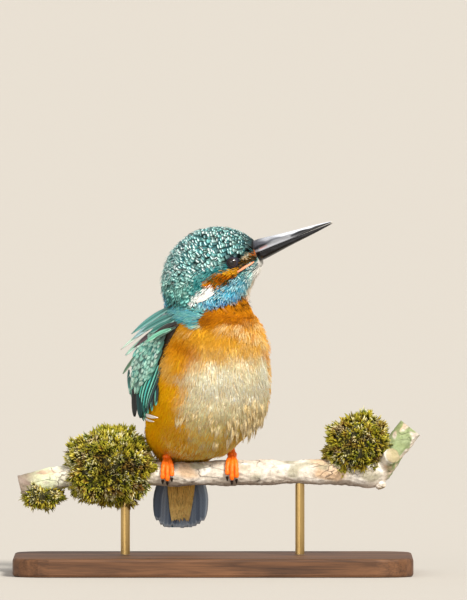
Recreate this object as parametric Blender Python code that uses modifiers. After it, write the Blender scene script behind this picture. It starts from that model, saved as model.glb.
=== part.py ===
"""A common kingfisher, life size, gripping a short cut branch on a plain display stand.

Metres, +Z up.  The origin is the middle of the stand's underside.  The branch runs along X.
The bird's breast faces -Y, turned a little towards +X, and its bill points to +X and up.
Trunk, neck and head are one surface through a few body sections, parted by thin cuts.
Sizes below are in millimetres and degrees, and become metres in the functions.
"""
import math

import bmesh
import bpy
import numpy as np
from mathutils import Matrix, Vector

MM = 0.001
GAP = 0.3                     # clearance between pieces that touch

# ---- stand and perch ------------------------------------------------------------------
BASE_SIZE = (172.0, 104.0, 8.0)
BASE_CORNER = 16.0            # corner radius of the base in plan
BASE_EDGE = 1.2               # rounded top and bottom edges
ROD_X = (-37.8, 37.4)         # where the two rods stand
ROD_RADIUS = 2.0
PERCH_RADIUS = 5.35           # at the bird's feet
PERCH_LEFT = -83.0            # cut end of the branch
PERCH_BEND = 71.0             # where the branch turns upwards at a knot
PERCH_RISE_ANGLE = 52.0
PERCH_RISE_LENGTH = 24.0
PERCH_LEVEL = 43.2            # height of the branch's middle under the bird
PERCH_STEP = 5.2              # spacing of the points along the branch

# ---- the bird's pose ------------------------------------------------------------------
BODY_HEADING = 22.0           # breast direction, turned from -Y towards +X
HEAD_HEADING = 75.0
HEAD_ROLL = 8.0               # crown leans to the bird's right
BILL_RISE = 20.4              # true slope of the bill above the level

# Body sections from tail root to neck:
# centre x, y, z, heading, pitch, depth to the breast side, depth to the back, half width
TRUNK_SECTIONS = (
    (-13.9, 14.4, 45.0, 22.0, 35.0, 6.0, 6.0, 8.5),       # tail root
    (-10.5, 10.0, 52.6, 22.0, 33.0, 9.5, 12.0, 13.8),     # vent
    (-7.7, 5.0, 59.8, 22.0, 28.0, 19.0, 17.0, 19.5),      # lower belly
    (-2.8, -2.0, 72.0, 22.0, 22.0, 24.0, 20.5, 24.7),     # belly
    (0.0, -8.5, 85.0, 22.0, 19.0, 25.0, 21.0, 23.9),      # lower breast
    (0.8, -13.6, 98.0, 24.0, 15.0, 23.0, 20.0, 21.9),     # breast
    (0.4, -17.2, 107.0, 38.0, 9.0, 20.6, 19.0, 20.6),     # upper breast
    (-0.6, -18.4, 112.2, 58.0, 5.0, 19.4, 19.4, 19.0),    # foot of the neck
)

# Head profile in its own upright plane, forward and up from the head's middle
HEAD_MIDDLE = (-0.4, -19.0, 129.0)
CROWN_RADIUS = 20.05
CROWN_SWELL = 3.9             # growth of the radius towards bill and nape
CROWN_FLATTEST = 129.0        # angle at which the radius is least
NAPE_ANGLE = 213.0
FOREHEAD_ANGLE = 39.0
CROWN_HALF_SWEEP = 87.0
THROAT_CURVE = ((20.0, -17.4), (10.5, -10.5), (17.8, -4.0), (22.6, 4.2))
HEAD_SECTIONS = 9
HEAD_WIDTH = (18.0, 7.5, 5.0)  # half width at the neck, loss to the cheeks, loss at the bill

RING_POINTS = 28
SECTION_POWER = 2.25          # 2 is an ellipse, more is squarer
NECK_CUT = 6.25               # where trunk and neck part, in section numbers
HEAD_CUT = 9.1                # where neck and head part

EYE_RADIUS = 2.75
EYE_FORWARD, EYE_UP = 11.4, 7.2  # in the head's plane
EYE_OUT = 9.9                # from the head's plane to the middle of the eyeball

BILL_LENGTH = 33.6
BILL_HALF_WIDTH = 4.7
UPPER_BILL_DEPTH = 4.9
LOWER_BILL_DEPTH = 3.9
BILL_LEVEL = (22.3, 10.4)     # middle of the bill's root, forward and up in the head's plane

WING_TOP, WING_FOOT = 6.15, 1.1  # section numbers the wings span
WING_RUFFLE = 0.43            # where down the wing its trailing edge stands off most
WING_THICKNESS = 1.6
TAIL_TIP = (-14.4, 21.5, 20.2)
TAIL_ROOT = (-13.8, 15.0, 45.4)
TAIL_HALF_WIDTH = (7.6, 11.5)
TAIL_THICKNESS = 1.3
TAIL_TURN = 0.35              # share of the body's heading that the tail keeps
TAIL_ARCH = 0.9
TAIL_FEATHERS = 6             # rounded tips along the tail's end

FEET_X = {"right": -19.8, "left": 8.2}
TOE_RADIUS = 1.15
TARSUS_RADIUS = 1.35
TARSUS_TOP = 62.0
HEEL_RADIUS = 1.75
# sideways place at the claw, and wrap over the branch in degrees (front is positive)
TOES = {"inner": (-2.1, 96.0), "middle": (-0.1, 116.0), "outer": (1.9, 108.0), "hind": (0.3, -98.0)}
CLAW_WRAP = 24.0
CLAW_RADIUS = 0.72

# Moss: middle x, y, z, half sizes x, y, z
MOSS = {
    "moss_left": (-44.5, 0.5, 46.0, 20.4, 15.0, 17.4),
    "moss_right": (63.0, 0.5, 55.0, 15.2, 12.0, 14.6),
    "moss_under": (-73.5, -0.5, 33.6, 9.2, 7.0, 6.0),
}
MOSS_LUMPS = 0.07

COLOURS = {
    "teal_plumage": ((0.05, 0.33, 0.33), 0.45, 0.0),
    "orange_plumage": ((0.62, 0.25, 0.03), 0.75, 0.0),
    "wing_plumage": ((0.03, 0.24, 0.24), 0.4, 0.0),
    "tail_plumage": ((0.09, 0.12, 0.18), 0.5, 0.0),
    "vent_plumage": ((0.35, 0.2, 0.06), 0.7, 0.0),
    "azure_plumage": ((0.02, 0.32, 0.75), 0.35, 0.0),
    "bill_horn": ((0.03, 0.03, 0.035), 0.28, 0.0),
    "eye": ((0.012, 0.008, 0.006), 0.05, 0.0),
    "foot_skin": ((0.85, 0.1, 0.01), 0.45, 0.0),
    "claw_horn": ((0.015, 0.012, 0.01), 0.3, 0.0),
    "bark": ((0.5, 0.44, 0.36), 0.85, 0.0),
    "moss": ((0.16, 0.17, 0.03), 0.95, 0.0),
    "stand_base": ((0.12, 0.08, 0.05), 0.45, 0.0),
    "stand_rod": ((0.5, 0.45, 0.35), 0.3, 1.0),
}


# ---- helpers --------------------------------------------------------------------------
def clear_scene():
    for item in list(bpy.data.objects):
        bpy.data.objects.remove(item, do_unlink=True)


def make_collection(name):
    group = bpy.data.collections.new(name)
    bpy.context.scene.collection.children.link(group)
    return group


def material(name):
    found = bpy.data.materials.get(name)
    if found:
        return found
    colour, roughness, metallic = COLOURS[name]
    made = bpy.data.materials.new(name)
    made.use_nodes = True
    shader = made.node_tree.nodes["Principled BSDF"]
    shader.inputs["Base Color"].default_value = (*colour, 1.0)
    shader.inputs["Roughness"].default_value = roughness
    shader.inputs["Metallic"].default_value = metallic
    return made


def add_mesh(name, group, finish, points_mm, faces):
    """A mesh object from points in millimetres, with its faces turned outwards."""
    mesh = bpy.data.meshes.new(name)
    mesh.from_pydata((np.asarray(points_mm) * MM).tolist(), [], faces)
    work = bmesh.new()
    work.from_mesh(mesh)
    bmesh.ops.recalc_face_normals(work, faces=work.faces[:])
    work.to_mesh(mesh)
    work.free()
    mesh.shade_smooth()
    mesh.set_sharp_from_angle(angle=math.radians(40.0))
    item = bpy.data.objects.new(name, mesh)
    item.data.materials.append(material(finish))
    group.objects.link(item)
    return item


def loft(name, group, finish, rings):
    """Joins rings of equal point count with quads, and caps both ends with a fan."""
    rings = [np.asarray(ring, float) for ring in rings]
    count = len(rings[0])
    points = np.concatenate(rings + [rings[0].mean(axis=0)[None], rings[-1].mean(axis=0)[None]])
    faces = []
    for row in range(len(rings) - 1):
        for k in range(count):
            a = row * count + k
            b = row * count + (k + 1) % count
            faces.append((a, b, b + count, a + count))
    low, high = len(points) - 2, len(points) - 1
    last = (len(rings) - 1) * count
    for k in range(count):
        faces.append((k, low, (k + 1) % count))
        faces.append((last + k, last + (k + 1) % count, high))
    return add_mesh(name, group, finish, points, faces)


def cut(item, cutter, operation="DIFFERENCE"):
    change = item.modifiers.new(f"{operation.lower()}_{cutter.name}", "BOOLEAN")
    change.operation = operation
    change.solver = "EXACT"
    change.object = cutter


def as_cutter(item):
    item.hide_render = True
    item.display_type = "WIRE"
    return item


def bezier(points, t):
    """Cubic Bezier point for each t."""
    a, b, c, d = (np.asarray(p, float) for p in points)
    t = np.asarray(t, float)[..., None]
    return a * (1 - t) ** 3 + 3 * b * t * (1 - t) ** 2 + 3 * c * t ** 2 * (1 - t) + d * t ** 3


def tube_rings(path, radii, sides):
    """Circles square to a path, turned as little as possible from one to the next."""
    path = np.asarray(path, float)
    along = np.gradient(path, axis=0)
    along /= np.linalg.norm(along, axis=1)[:, None]
    across = np.cross(along[0], (0.31, 0.17, 0.93))
    turn = np.arange(sides) * 2 * math.pi / sides
    rings = []
    for middle, forward, radius in zip(path, along, radii):
        across = across - forward * across.dot(forward)
        across /= np.linalg.norm(across)
        other = np.cross(forward, across)
        rings.append(middle + radius * (np.cos(turn)[:, None] * across + np.sin(turn)[:, None] * other))
    return rings


# ---- the body surface -----------------------------------------------------------------
def heading_vector(degrees):
    """Level direction turned from -Y towards +X."""
    angle = math.radians(degrees)
    return np.array((math.sin(angle), -math.cos(angle), 0.0))


def right_vector(degrees):
    """The bird's right, for a heading."""
    angle = math.radians(degrees)
    return np.array((-math.cos(angle), -math.sin(angle), 0.0))


def bill_direction():
    rise = math.radians(BILL_RISE)
    return heading_vector(HEAD_HEADING) * math.cos(rise) + np.array((0.0, 0.0, math.sin(rise)))


def head_point(forward, up):
    """A point of the head's plane before the head rolls."""
    return np.array(HEAD_MIDDLE) + forward * heading_vector(HEAD_HEADING) + np.array((0.0, 0.0, up))


def roll_matrix(share):
    return np.array(Matrix.Rotation(math.radians(HEAD_ROLL * share), 3, Vector(bill_direction())))


def rolled(point, share=1.0):
    middle = np.array(HEAD_MIDDLE)
    return middle + roll_matrix(share) @ (np.asarray(point) - middle)


def trunk_rows():
    """Centre, arm to the breast, arm to the back and arm to the right, for each trunk section."""
    rows = []
    for x, y, z, heading, pitch, front, back, half_width in TRUNK_SECTIONS:
        tilt = math.radians(pitch)
        ventral = heading_vector(heading) * math.cos(tilt) - np.array((0.0, 0.0, math.sin(tilt)))
        side = right_vector(heading) * half_width
        rows.append(np.concatenate(((x, y, z), ventral * front, -ventral * back, side)))
    return rows


def head_rows():
    """The same arms for the head: a fan of sections from the nape round to the bill's root."""
    rows = []
    for k in range(HEAD_SECTIONS):
        share = k / (HEAD_SECTIONS - 1)
        angle = NAPE_ANGLE + (FOREHEAD_ANGLE - NAPE_ANGLE) * share
        radius = CROWN_RADIUS + CROWN_SWELL * ((angle - CROWN_FLATTEST) / CROWN_HALF_SWEEP) ** 2
        crown = head_point(radius * math.cos(math.radians(angle)), radius * math.sin(math.radians(angle)))
        throat = head_point(*bezier(THROAT_CURVE, share))
        widest, cheek_loss, bill_loss = HEAD_WIDTH
        half_width = widest - cheek_loss * share ** 1.2 - bill_loss * share ** 6
        rolling = min(1.0, share / 0.4)
        turn = roll_matrix(rolling)
        crown, throat = rolled(crown, rolling), rolled(throat, rolling)
        middle = (crown + throat) / 2
        side = turn @ right_vector(HEAD_HEADING) * half_width
        rows.append(np.concatenate((middle, throat - middle, crown - middle, side)))
    return rows


BODY_ROWS = np.array(trunk_rows() + head_rows())
LAST_SECTION = len(BODY_ROWS) - 1.0


def body_row(u):
    """Cubic blend of the section rows at section number u."""
    k = int(min(max(math.floor(u), 0), LAST_SECTION - 1))
    t = u - k
    before = BODY_ROWS[max(k - 1, 0)]
    here, there = BODY_ROWS[k], BODY_ROWS[k + 1]
    after = BODY_ROWS[min(k + 2, len(BODY_ROWS) - 1)]
    leave, arrive = (there - before) / 2, (after - here) / 2
    return (here * (1 + 2 * t) * (1 - t) ** 2 + leave * t * (1 - t) ** 2
            + there * t * t * (3 - 2 * t) + arrive * t * t * (t - 1))


def body_points(u, v, swell=0.0):
    """Surface points at section number u and angles v (0 breast, 90 degrees right, 180 back)."""
    row = body_row(u)
    middle, front, back, side = row[0:3], row[3:6], row[6:9], row[9:12]
    v = np.atleast_1d(v)
    power = 2 / SECTION_POWER
    c = np.sign(np.cos(v)) * np.abs(np.cos(v)) ** power
    s = np.sign(np.sin(v)) * np.abs(np.sin(v)) ** power
    grow = [1 + swell / np.linalg.norm(arm) for arm in (front, back, side)]
    return (middle + np.maximum(c, 0)[:, None] * front * grow[0]
            + np.maximum(-c, 0)[:, None] * back * grow[1] + s[:, None] * side * grow[2])


def body_normal(u, v):
    """Outward direction of the body surface at one point."""
    step = 0.02
    low, high = max(u - step, 0.0), min(u + step, LAST_SECTION)
    along = body_points(high, v)[0] - body_points(low, v)[0]
    around = body_points(u, v + step)[0] - body_points(u, v - step)[0]
    outward = np.cross(around, along)
    outward /= np.linalg.norm(outward)
    return outward if outward.dot(body_points(u, v)[0] - body_row(u)[0:3]) > 0 else -outward


def body_ring(u, swell=0.0):
    return body_points(u, np.arange(RING_POINTS) * 2 * math.pi / RING_POINTS, swell)


def section_normal(u):
    """Direction square to a section's plane, towards the head."""
    row = body_row(u)
    square = np.cross(row[3:6], row[9:12])
    square /= np.linalg.norm(square)
    onward = body_row(min(u + 0.1, LAST_SECTION))[0:3] - body_row(max(u - 0.1, 0.0))[0:3]
    return square if square.dot(onward) > 0 else -square


def body_part(name, group, finish, start, end, rows):
    """A stretch of the body surface; it starts a gap above the stretch below it."""
    rings = [body_ring(u) for u in np.linspace(start, end, rows)]
    if start > 0:
        rings[0] = rings[0] + section_normal(start) * GAP
    return loft(name, group, finish, rings)


def body_cutter(group):
    """The whole body, grown by the gap on all sides."""
    rings = [body_ring(u, GAP) for u in np.linspace(0.0, LAST_SECTION, 40)]
    rings[0] = rings[0] - section_normal(0.0) * GAP
    rings[-1] = rings[-1] + section_normal(LAST_SECTION) * GAP
    return as_cutter(loft("body_cutter", group, "teal_plumage", rings))


# ---- head -----------------------------------------------------------------------------
def eye_middle(side_sign):
    """The eyeball's middle on the bird's right (1) or left (-1)."""
    point = head_point(EYE_FORWARD, EYE_UP) + right_vector(HEAD_HEADING) * EYE_OUT * side_sign
    return rolled(point)


def ball(name, group, finish, middle, radius, segments, rings):
    work = bmesh.new()
    bmesh.ops.create_uvsphere(work, u_segments=segments, v_segments=rings, radius=radius * MM)
    bmesh.ops.translate(work, verts=work.verts, vec=Vector(middle) * MM)
    mesh = bpy.data.meshes.new(name)
    work.to_mesh(mesh)
    work.free()
    mesh.shade_smooth()
    item = bpy.data.objects.new(name, mesh)
    item.data.materials.append(material(finish))
    group.objects.link(item)
    return item


def eyes(group, cutters, head):
    for side, sign in (("right", 1), ("left", -1)):
        middle = eye_middle(sign)
        ball(f"eye_{side}", group, "eye", middle, EYE_RADIUS, 14, 8)
        socket = ball(f"socket_{side}", cutters, "eye", middle, EYE_RADIUS + GAP, 14, 8)
        cut(head, as_cutter(socket))


def bill_half(name, group, side, depth, sides=10, rows=9):
    """One mandible: half-oval sections that shrink to the tip, flat where the two meet."""
    forward = bill_direction()
    turn = roll_matrix(1.0)
    right = turn @ right_vector(HEAD_HEADING)
    up = np.cross(right, forward) * side
    root = rolled(head_point(*BILL_LEVEL))
    face_row = body_row(LAST_SECTION)
    face_normal = section_normal(LAST_SECTION)
    face_middle = face_row[0:3] + face_normal * GAP
    rings = []
    for t in np.linspace(0.0, 1.0, rows):
        width = BILL_HALF_WIDTH * ((1 - t) ** 1.15 * 0.94 + 0.06)
        height = depth * ((1 - t) ** 0.85 * 0.93 + 0.07)
        arc = np.linspace(0.0, math.pi, sides)
        across = width * np.cos(arc)
        rise = GAP / 2 + height * np.sin(arc) ** 0.9
        ring = root + forward * BILL_LENGTH * t + across[:, None] * right + rise[:, None] * up
        if t == 0.0:
            slide = (face_middle - ring) @ face_normal / forward.dot(face_normal)
            ring = ring + slide[:, None] * forward
        rings.append(ring)
    return loft(name, group, "bill_horn", rings)


# ---- wings and tail -------------------------------------------------------------------
def sheet(name, group, finish, grid, thickness, offset):
    """An open grid of points given its thickness by Solidify (offset 1 is all outwards)."""
    rows, columns = len(grid), len(grid[0])
    faces = []
    for r in range(rows - 1):
        for c in range(columns - 1):
            a = r * columns + c
            faces.append((a, a + 1, a + columns + 1, a + columns))
    mesh = bpy.data.meshes.new(name)
    mesh.from_pydata((np.asarray(grid).reshape(-1, 3) * MM).tolist(), [], faces)
    mesh.shade_smooth()
    item = bpy.data.objects.new(name, mesh)
    item.data.materials.append(material(finish))
    group.objects.link(item)
    shell = item.modifiers.new("thickness", "SOLIDIFY")
    shell.thickness = thickness * MM
    shell.offset = offset
    return item


def wing(name, group, cutter, sign, angles, lift, scallops):
    """A shell over the trunk: leading edge on it, trailing edge lifted off near the shoulder."""
    rows, columns = 15, 8
    lead, trail = angles
    grid = []
    for t in np.linspace(0.0, 1.0, rows):
        u = WING_TOP + (WING_FOOT - WING_TOP) * t
        line = []
        narrowing = 1.0 - 0.62 * t ** 2.2
        rise = lift * math.exp(-((t - WING_RUFFLE) / 0.27) ** 2)
        for e in np.linspace(0.0, 1.0, columns):
            v = math.radians(lead + (trail - lead) * (e * narrowing + 0.5 * t ** 2)) * sign
            stand = 0.6 + rise * min(1.0, e / 0.7) ** 1.3 + scallops * e ** 3 * math.cos(8 * math.pi * t)
            line.append(body_points(u, v)[0] + body_normal(u, v) * stand)
        grid.append(line if sign > 0 else line[::-1])
    item = sheet(name, group, "wing_plumage", grid, WING_THICKNESS, 1.0)
    cut(item, cutter)
    return item


def tail_half_width(t):
    """Half width of the tail at t down its length, from root to the widest part."""
    narrow, wide = TAIL_HALF_WIDTH
    return narrow + (wide - narrow) * min(1.0, 1.8 * t) ** 0.7


def tail_place(t, across, out):
    """A point by the tail's arched middle surface: t down it, across to the right, out to its back."""
    root, tip = np.array(TAIL_ROOT), np.array(TAIL_TIP)
    down = (tip - root) / np.linalg.norm(tip - root)
    side = right_vector(BODY_HEADING * TAIL_TURN)
    back = np.cross(down, side)
    back = back if back[1] > 0 else -back
    arch = -TAIL_ARCH * (across / TAIL_HALF_WIDTH[1]) ** 2
    return root + (tip - root) * t + side * across + back * (out + arch)


def tail(group):
    """The tail feathers as one arched plate with a scalloped end."""
    rows, columns = 6, 19
    grid = []
    for r in np.linspace(0.0, 1.0, rows):
        line = []
        for c in np.linspace(-1.0, 1.0, columns):
            scallop = abs(math.cos(c * TAIL_FEATHERS * math.pi / 2))
            length = 1.0 - 0.14 * c ** 4 - 0.035 * scallop
            line.append(tail_place(r * length, tail_half_width(r) * c, 0.0))
        grid.append(line)
    return sheet("tail", group, "tail_plumage", grid, TAIL_THICKNESS, 0.0)


def tail_coverts(name, group, finish, side, width, depth, length):
    """A tapering cushion of feathers over (1) or under (-1) the tail plate."""
    clear = TAIL_THICKNESS / 2 + GAP + 0.1
    rings = []
    for t in np.linspace(0.0, 1.0, 8):
        half = width * (1 - 0.45 * t ** 2)
        thick = depth * (1 - t) ** 0.8 + 0.7
        ring = []
        for angle in np.linspace(0.0, math.pi, 10):
            lift = side * (clear + thick * math.sin(angle))
            ring.append(tail_place(t * length, half * math.cos(angle), lift))
        rings.append(ring)
    return loft(name, group, finish, rings)


# ---- perch, feet and moss -------------------------------------------------------------
def perch_line():
    """Middle of the branch and its radius, from the left cut end round the bend to the right."""
    level = np.arange(PERCH_LEFT, PERCH_BEND, PERCH_STEP)
    drop = -7.4 * np.clip((-level - 45.0) / 45.0, 0.0, 1.0) ** 1.6
    sway = 0.5 * np.sin(level / 13.0) + 0.35 * np.sin(level / 5.7 + 1.0)
    points = np.stack((level, 0.6 * np.sin(level / 19.0 + 0.6), PERCH_LEVEL + drop + 0.4 * sway), axis=1)
    points[:, 2] += 0.8 * np.clip(level / 60.0, 0.0, 1.0)
    rise = np.arange(1.0, PERCH_RISE_LENGTH / PERCH_STEP + 1.0) * PERCH_STEP
    slope = np.radians(PERCH_RISE_ANGLE) * np.clip(rise / 9.0, 0.0, 1.0)
    last = points[-1]
    climb = np.stack((np.cumsum(np.cos(slope)), np.zeros_like(rise), np.cumsum(np.sin(slope))), axis=1)
    points = np.concatenate((points, last + climb * PERCH_STEP))
    radii = PERCH_RADIUS + 0.22 * np.sin(points[:, 0] / 7.3) + 0.12 * np.sin(points[:, 0] / 3.1)
    knot = np.exp(-((points[:, 0] - PERCH_BEND + 3.0) / 5.0) ** 2)
    radii = radii * (1.0 + 0.3 * knot) - 0.5 * np.clip(-points[:, 0] / 80.0, 0.0, 1.0)
    return points, radii


def perch_tube(name, group, grow):
    """The branch as a round tube along its line, with filled caps, then made a mesh."""
    points, radii = perch_line()
    line = bpy.data.curves.new(name, "CURVE")
    line.dimensions = "3D"
    line.bevel_depth = 1.0 * MM
    line.bevel_resolution = 4
    line.use_fill_caps = True
    spline = line.splines.new("POLY")
    spline.points.add(len(points) - 1)
    for spot, place, radius in zip(spline.points, points, radii):
        spot.co = (*(place * MM), 1.0)
        spot.radius = radius + grow
    carrier = bpy.data.objects.new(f"{name}_line", line)
    group.objects.link(carrier)
    bpy.context.view_layer.update()
    mesh = bpy.data.meshes.new_from_object(carrier.evaluated_get(bpy.context.evaluated_depsgraph_get()))
    bpy.data.objects.remove(carrier, do_unlink=True)
    bpy.data.curves.remove(line)
    work = bmesh.new()
    work.from_mesh(mesh)
    bmesh.ops.remove_doubles(work, verts=work.verts, dist=0.01 * MM)
    work.to_mesh(mesh)
    work.free()
    mesh.name = name
    mesh.materials.clear()
    mesh.materials.append(material("bark"))
    mesh.shade_smooth()
    mesh.set_sharp_from_angle(angle=math.radians(50.0))
    item = bpy.data.objects.new(name, mesh)
    group.objects.link(item)
    return item


def perch_at(x):
    """Middle height, middle depth and radius of the branch at x."""
    points, radii = perch_line()
    return [float(np.interp(x, points[:, 0], column)) for column in (points[:, 2], points[:, 1], radii)]


def wrap_point(foot_x, sideways, degrees, thickness):
    """A point on the branch's skin: degrees from the top towards the front, lifted by thickness."""
    height, depth, radius = perch_at(foot_x + sideways)
    angle = math.radians(degrees)
    reach = radius + GAP + thickness
    return np.array((foot_x + sideways, depth - reach * math.sin(angle), height + reach * math.cos(angle)))


def toe_line(foot_x, sideways, wrap, steps=8):
    """Points of a toe that leaves the heel pad and wraps the branch."""
    line = []
    for t in np.linspace(0.0, 1.0, steps):
        spread = sideways * min(1.0, 0.25 + 1.1 * t)
        line.append(wrap_point(foot_x, spread, wrap * t, TOE_RADIUS * (1.0 - 0.25 * t)))
    return line


def foot(side, group, cutters, cutter):
    """Tarsus, heel and four toes in one piece, with four separate claws."""
    foot_x = FEET_X[side]
    sign = 1.0 if side == "left" else -1.0
    heel = wrap_point(foot_x, 0.0, 0.0, HEEL_RADIUS)
    top = np.array((foot_x + (0.8 if side == "right" else -1.0), heel[1] + 1.5, TARSUS_TOP))
    path = [heel + (top - heel) * t for t in np.linspace(-0.03, 1.0, 4)]
    leg = loft(f"leg_{side}", group, "foot_skin", tube_rings(path, [TARSUS_RADIUS] * len(path), 8))
    pad = ball(f"heel_{side}", cutters, "foot_skin", heel, HEEL_RADIUS, 10, 7)
    cut(leg, as_cutter(pad), "UNION")
    for toe, (sideways, wrap) in TOES.items():
        line = toe_line(foot_x, sideways * sign, wrap)
        radii = TOE_RADIUS * (1.0 - 0.25 * np.linspace(0.0, 1.0, len(line)))
        piece = loft(f"toe_{toe}_{side}", cutters, "foot_skin", tube_rings(line, radii, 7))
        cut(leg, as_cutter(piece), "UNION")
        reach = wrap + math.copysign(CLAW_WRAP, wrap)
        begin = wrap + math.copysign(6.5, wrap)
        talon = [wrap_point(foot_x, sideways * sign, a, 0.8) for a in np.linspace(begin, reach, 5)]
        taper = CLAW_RADIUS * (1.0 - np.linspace(0.0, 0.72, 5) ** 1.2)
        loft(f"claw_{toe}_{side}", group, "claw_horn", tube_rings(talon, taper, 6))
    cut(leg, cutter)
    return leg


def moss(name, group, cutters):
    """A lumpy cushion of moss around or on the branch, with room for branch and rods."""
    x, y, z, half_x, half_y, half_z = MOSS[name]
    work = bmesh.new()
    bmesh.ops.create_uvsphere(work, u_segments=16, v_segments=10, radius=1.0)
    for vertex in work.verts:
        p = vertex.co
        lump = math.sin(5.1 * p.x + 1.3) * math.sin(4.3 * p.y + 0.4) + math.sin(6.7 * p.z + 2.0 * p.x)
        size = 1.0 + MOSS_LUMPS * lump
        vertex.co = Vector((x + half_x * p.x * size, y + half_y * p.y * size, z + half_z * p.z * size)) * MM
    mesh = bpy.data.meshes.new(name)
    work.to_mesh(mesh)
    work.free()
    mesh.shade_smooth()
    item = bpy.data.objects.new(name, mesh)
    item.data.materials.append(material("moss"))
    group.objects.link(item)
    for cutter in cutters:
        cut(item, cutter)
    return item


# ---- stand ----------------------------------------------------------------------------
def rod(name, group, x, radius, low, high):
    work = bmesh.new()
    bmesh.ops.create_cone(work, cap_ends=True, segments=20, radius1=radius * MM, radius2=radius * MM,
                          depth=(high - low) * MM)
    bmesh.ops.translate(work, verts=work.verts, vec=(x * MM, perch_at(x)[1] * MM, (low + high) / 2 * MM))
    mesh = bpy.data.meshes.new(name)
    work.to_mesh(mesh)
    work.free()
    mesh.shade_smooth()
    mesh.set_sharp_from_angle(angle=math.radians(40.0))
    item = bpy.data.objects.new(name, mesh)
    item.data.materials.append(material("stand_rod"))
    group.objects.link(item)
    return item


def stand_base(group):
    """A flat slab with round corners and softened edges."""
    length, width, height = BASE_SIZE
    work = bmesh.new()
    bmesh.ops.create_cube(work, size=1.0)
    bmesh.ops.scale(work, verts=work.verts, vec=(length * MM, width * MM, height * MM))
    bmesh.ops.translate(work, verts=work.verts, vec=(0.0, 0.0, height / 2 * MM))
    upright = [e for e in work.edges if abs(e.verts[0].co.z - e.verts[1].co.z) > height / 2 * MM]
    bmesh.ops.bevel(work, geom=upright, offset=BASE_CORNER * MM, segments=5, affect="EDGES", profile=0.5)
    mesh = bpy.data.meshes.new("stand_base")
    work.to_mesh(mesh)
    work.free()
    item = bpy.data.objects.new("stand_base", mesh)
    item.data.materials.append(material("stand_base"))
    group.objects.link(item)
    soft = item.modifiers.new("edge", "BEVEL")
    soft.width = BASE_EDGE * MM
    soft.segments = 2
    soft.limit_method = "ANGLE"
    soft.angle_limit = math.radians(60.0)
    return item


def main():
    clear_scene()
    parts = make_collection("kingfisher")
    cutters = make_collection("cutters")
    whole = body_cutter(cutters)
    branch = as_cutter(perch_tube("perch_cutter", cutters, GAP))

    trunk = body_part("trunk", parts, "orange_plumage", 0.0, NECK_CUT, 17)
    cut(trunk, branch)
    body_part("neck", parts, "orange_plumage", NECK_CUT, HEAD_CUT, 6)
    head = body_part("head", parts, "teal_plumage", HEAD_CUT, LAST_SECTION, 14)
    eyes(parts, cutters, head)
    bill_half("bill_upper", parts, 1.0, UPPER_BILL_DEPTH)
    bill_half("bill_lower", parts, -1.0, LOWER_BILL_DEPTH)

    wing("wing_right", parts, whole, 1.0, (87.0, 140.0), 16.2, 0.6)
    wing("wing_left", parts, whole, -1.0, (96.0, 168.0), 1.2, 0.0)
    cut(tail(parts), whole)
    cut(tail_coverts("tail_coverts_under", parts, "vent_plumage", -1.0, 6.2, 4.4, 0.93), whole)
    cut(tail_coverts("tail_coverts_upper", parts, "azure_plumage", 1.0, 7.6, 4.0, 0.72), whole)

    perch_tube("perch", parts, 0.0)
    for side in FEET_X:
        foot(side, parts, cutters, whole)
    rod_cutters = []
    for name, x in zip(("left", "right"), ROD_X):
        height = perch_at(x)[0]
        post = rod(f"stand_rod_{name}", parts, x, ROD_RADIUS, BASE_SIZE[2] + GAP, height)
        cut(post, branch)
        room = rod(f"rod_room_{name}", cutters, x, ROD_RADIUS + GAP, BASE_SIZE[2], height)
        rod_cutters.append(as_cutter(room))
    for name in MOSS:
        moss(name, parts, [branch] + rod_cutters)
    stand_base(parts)


main()
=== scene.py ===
"""A common kingfisher on a short branch: skin, feathers, bill, eyes, feet, bark, moss and stand.

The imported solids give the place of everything.  Sizes here are in millimetres and degrees and
become metres when a mesh is made.  The body is one surface S(u, v): u counts the sections from
tail root to bill, v turns from the breast (0) by the bird's right (+90) to the back (180).
Feathers are closed, flattened tubes that follow the lie of the coat, which runs down u.
"""
import math

import bpy
import numpy as np
from mathutils import Matrix, Vector


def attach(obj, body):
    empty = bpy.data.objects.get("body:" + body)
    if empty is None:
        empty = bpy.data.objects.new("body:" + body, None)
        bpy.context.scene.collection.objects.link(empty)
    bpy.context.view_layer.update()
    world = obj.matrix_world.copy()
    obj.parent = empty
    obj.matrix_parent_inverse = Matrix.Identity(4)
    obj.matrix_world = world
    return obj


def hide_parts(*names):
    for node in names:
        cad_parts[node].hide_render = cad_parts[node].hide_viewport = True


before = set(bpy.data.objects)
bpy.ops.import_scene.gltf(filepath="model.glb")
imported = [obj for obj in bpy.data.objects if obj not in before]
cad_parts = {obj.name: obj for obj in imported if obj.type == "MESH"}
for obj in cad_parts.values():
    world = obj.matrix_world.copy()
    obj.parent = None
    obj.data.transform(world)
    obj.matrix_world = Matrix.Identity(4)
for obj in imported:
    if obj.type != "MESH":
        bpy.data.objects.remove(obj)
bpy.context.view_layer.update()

MM = 0.001
TURN = 2 * math.pi
UP = np.array((0.0, 0.0, 1.0))

# ---- the bird's body, as the solids have it ---------------------------------------------
BODY_HEADING = 22.0
HEAD_HEADING = 75.0
HEAD_ROLL = 8.0
BILL_RISE = 20.4
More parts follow.
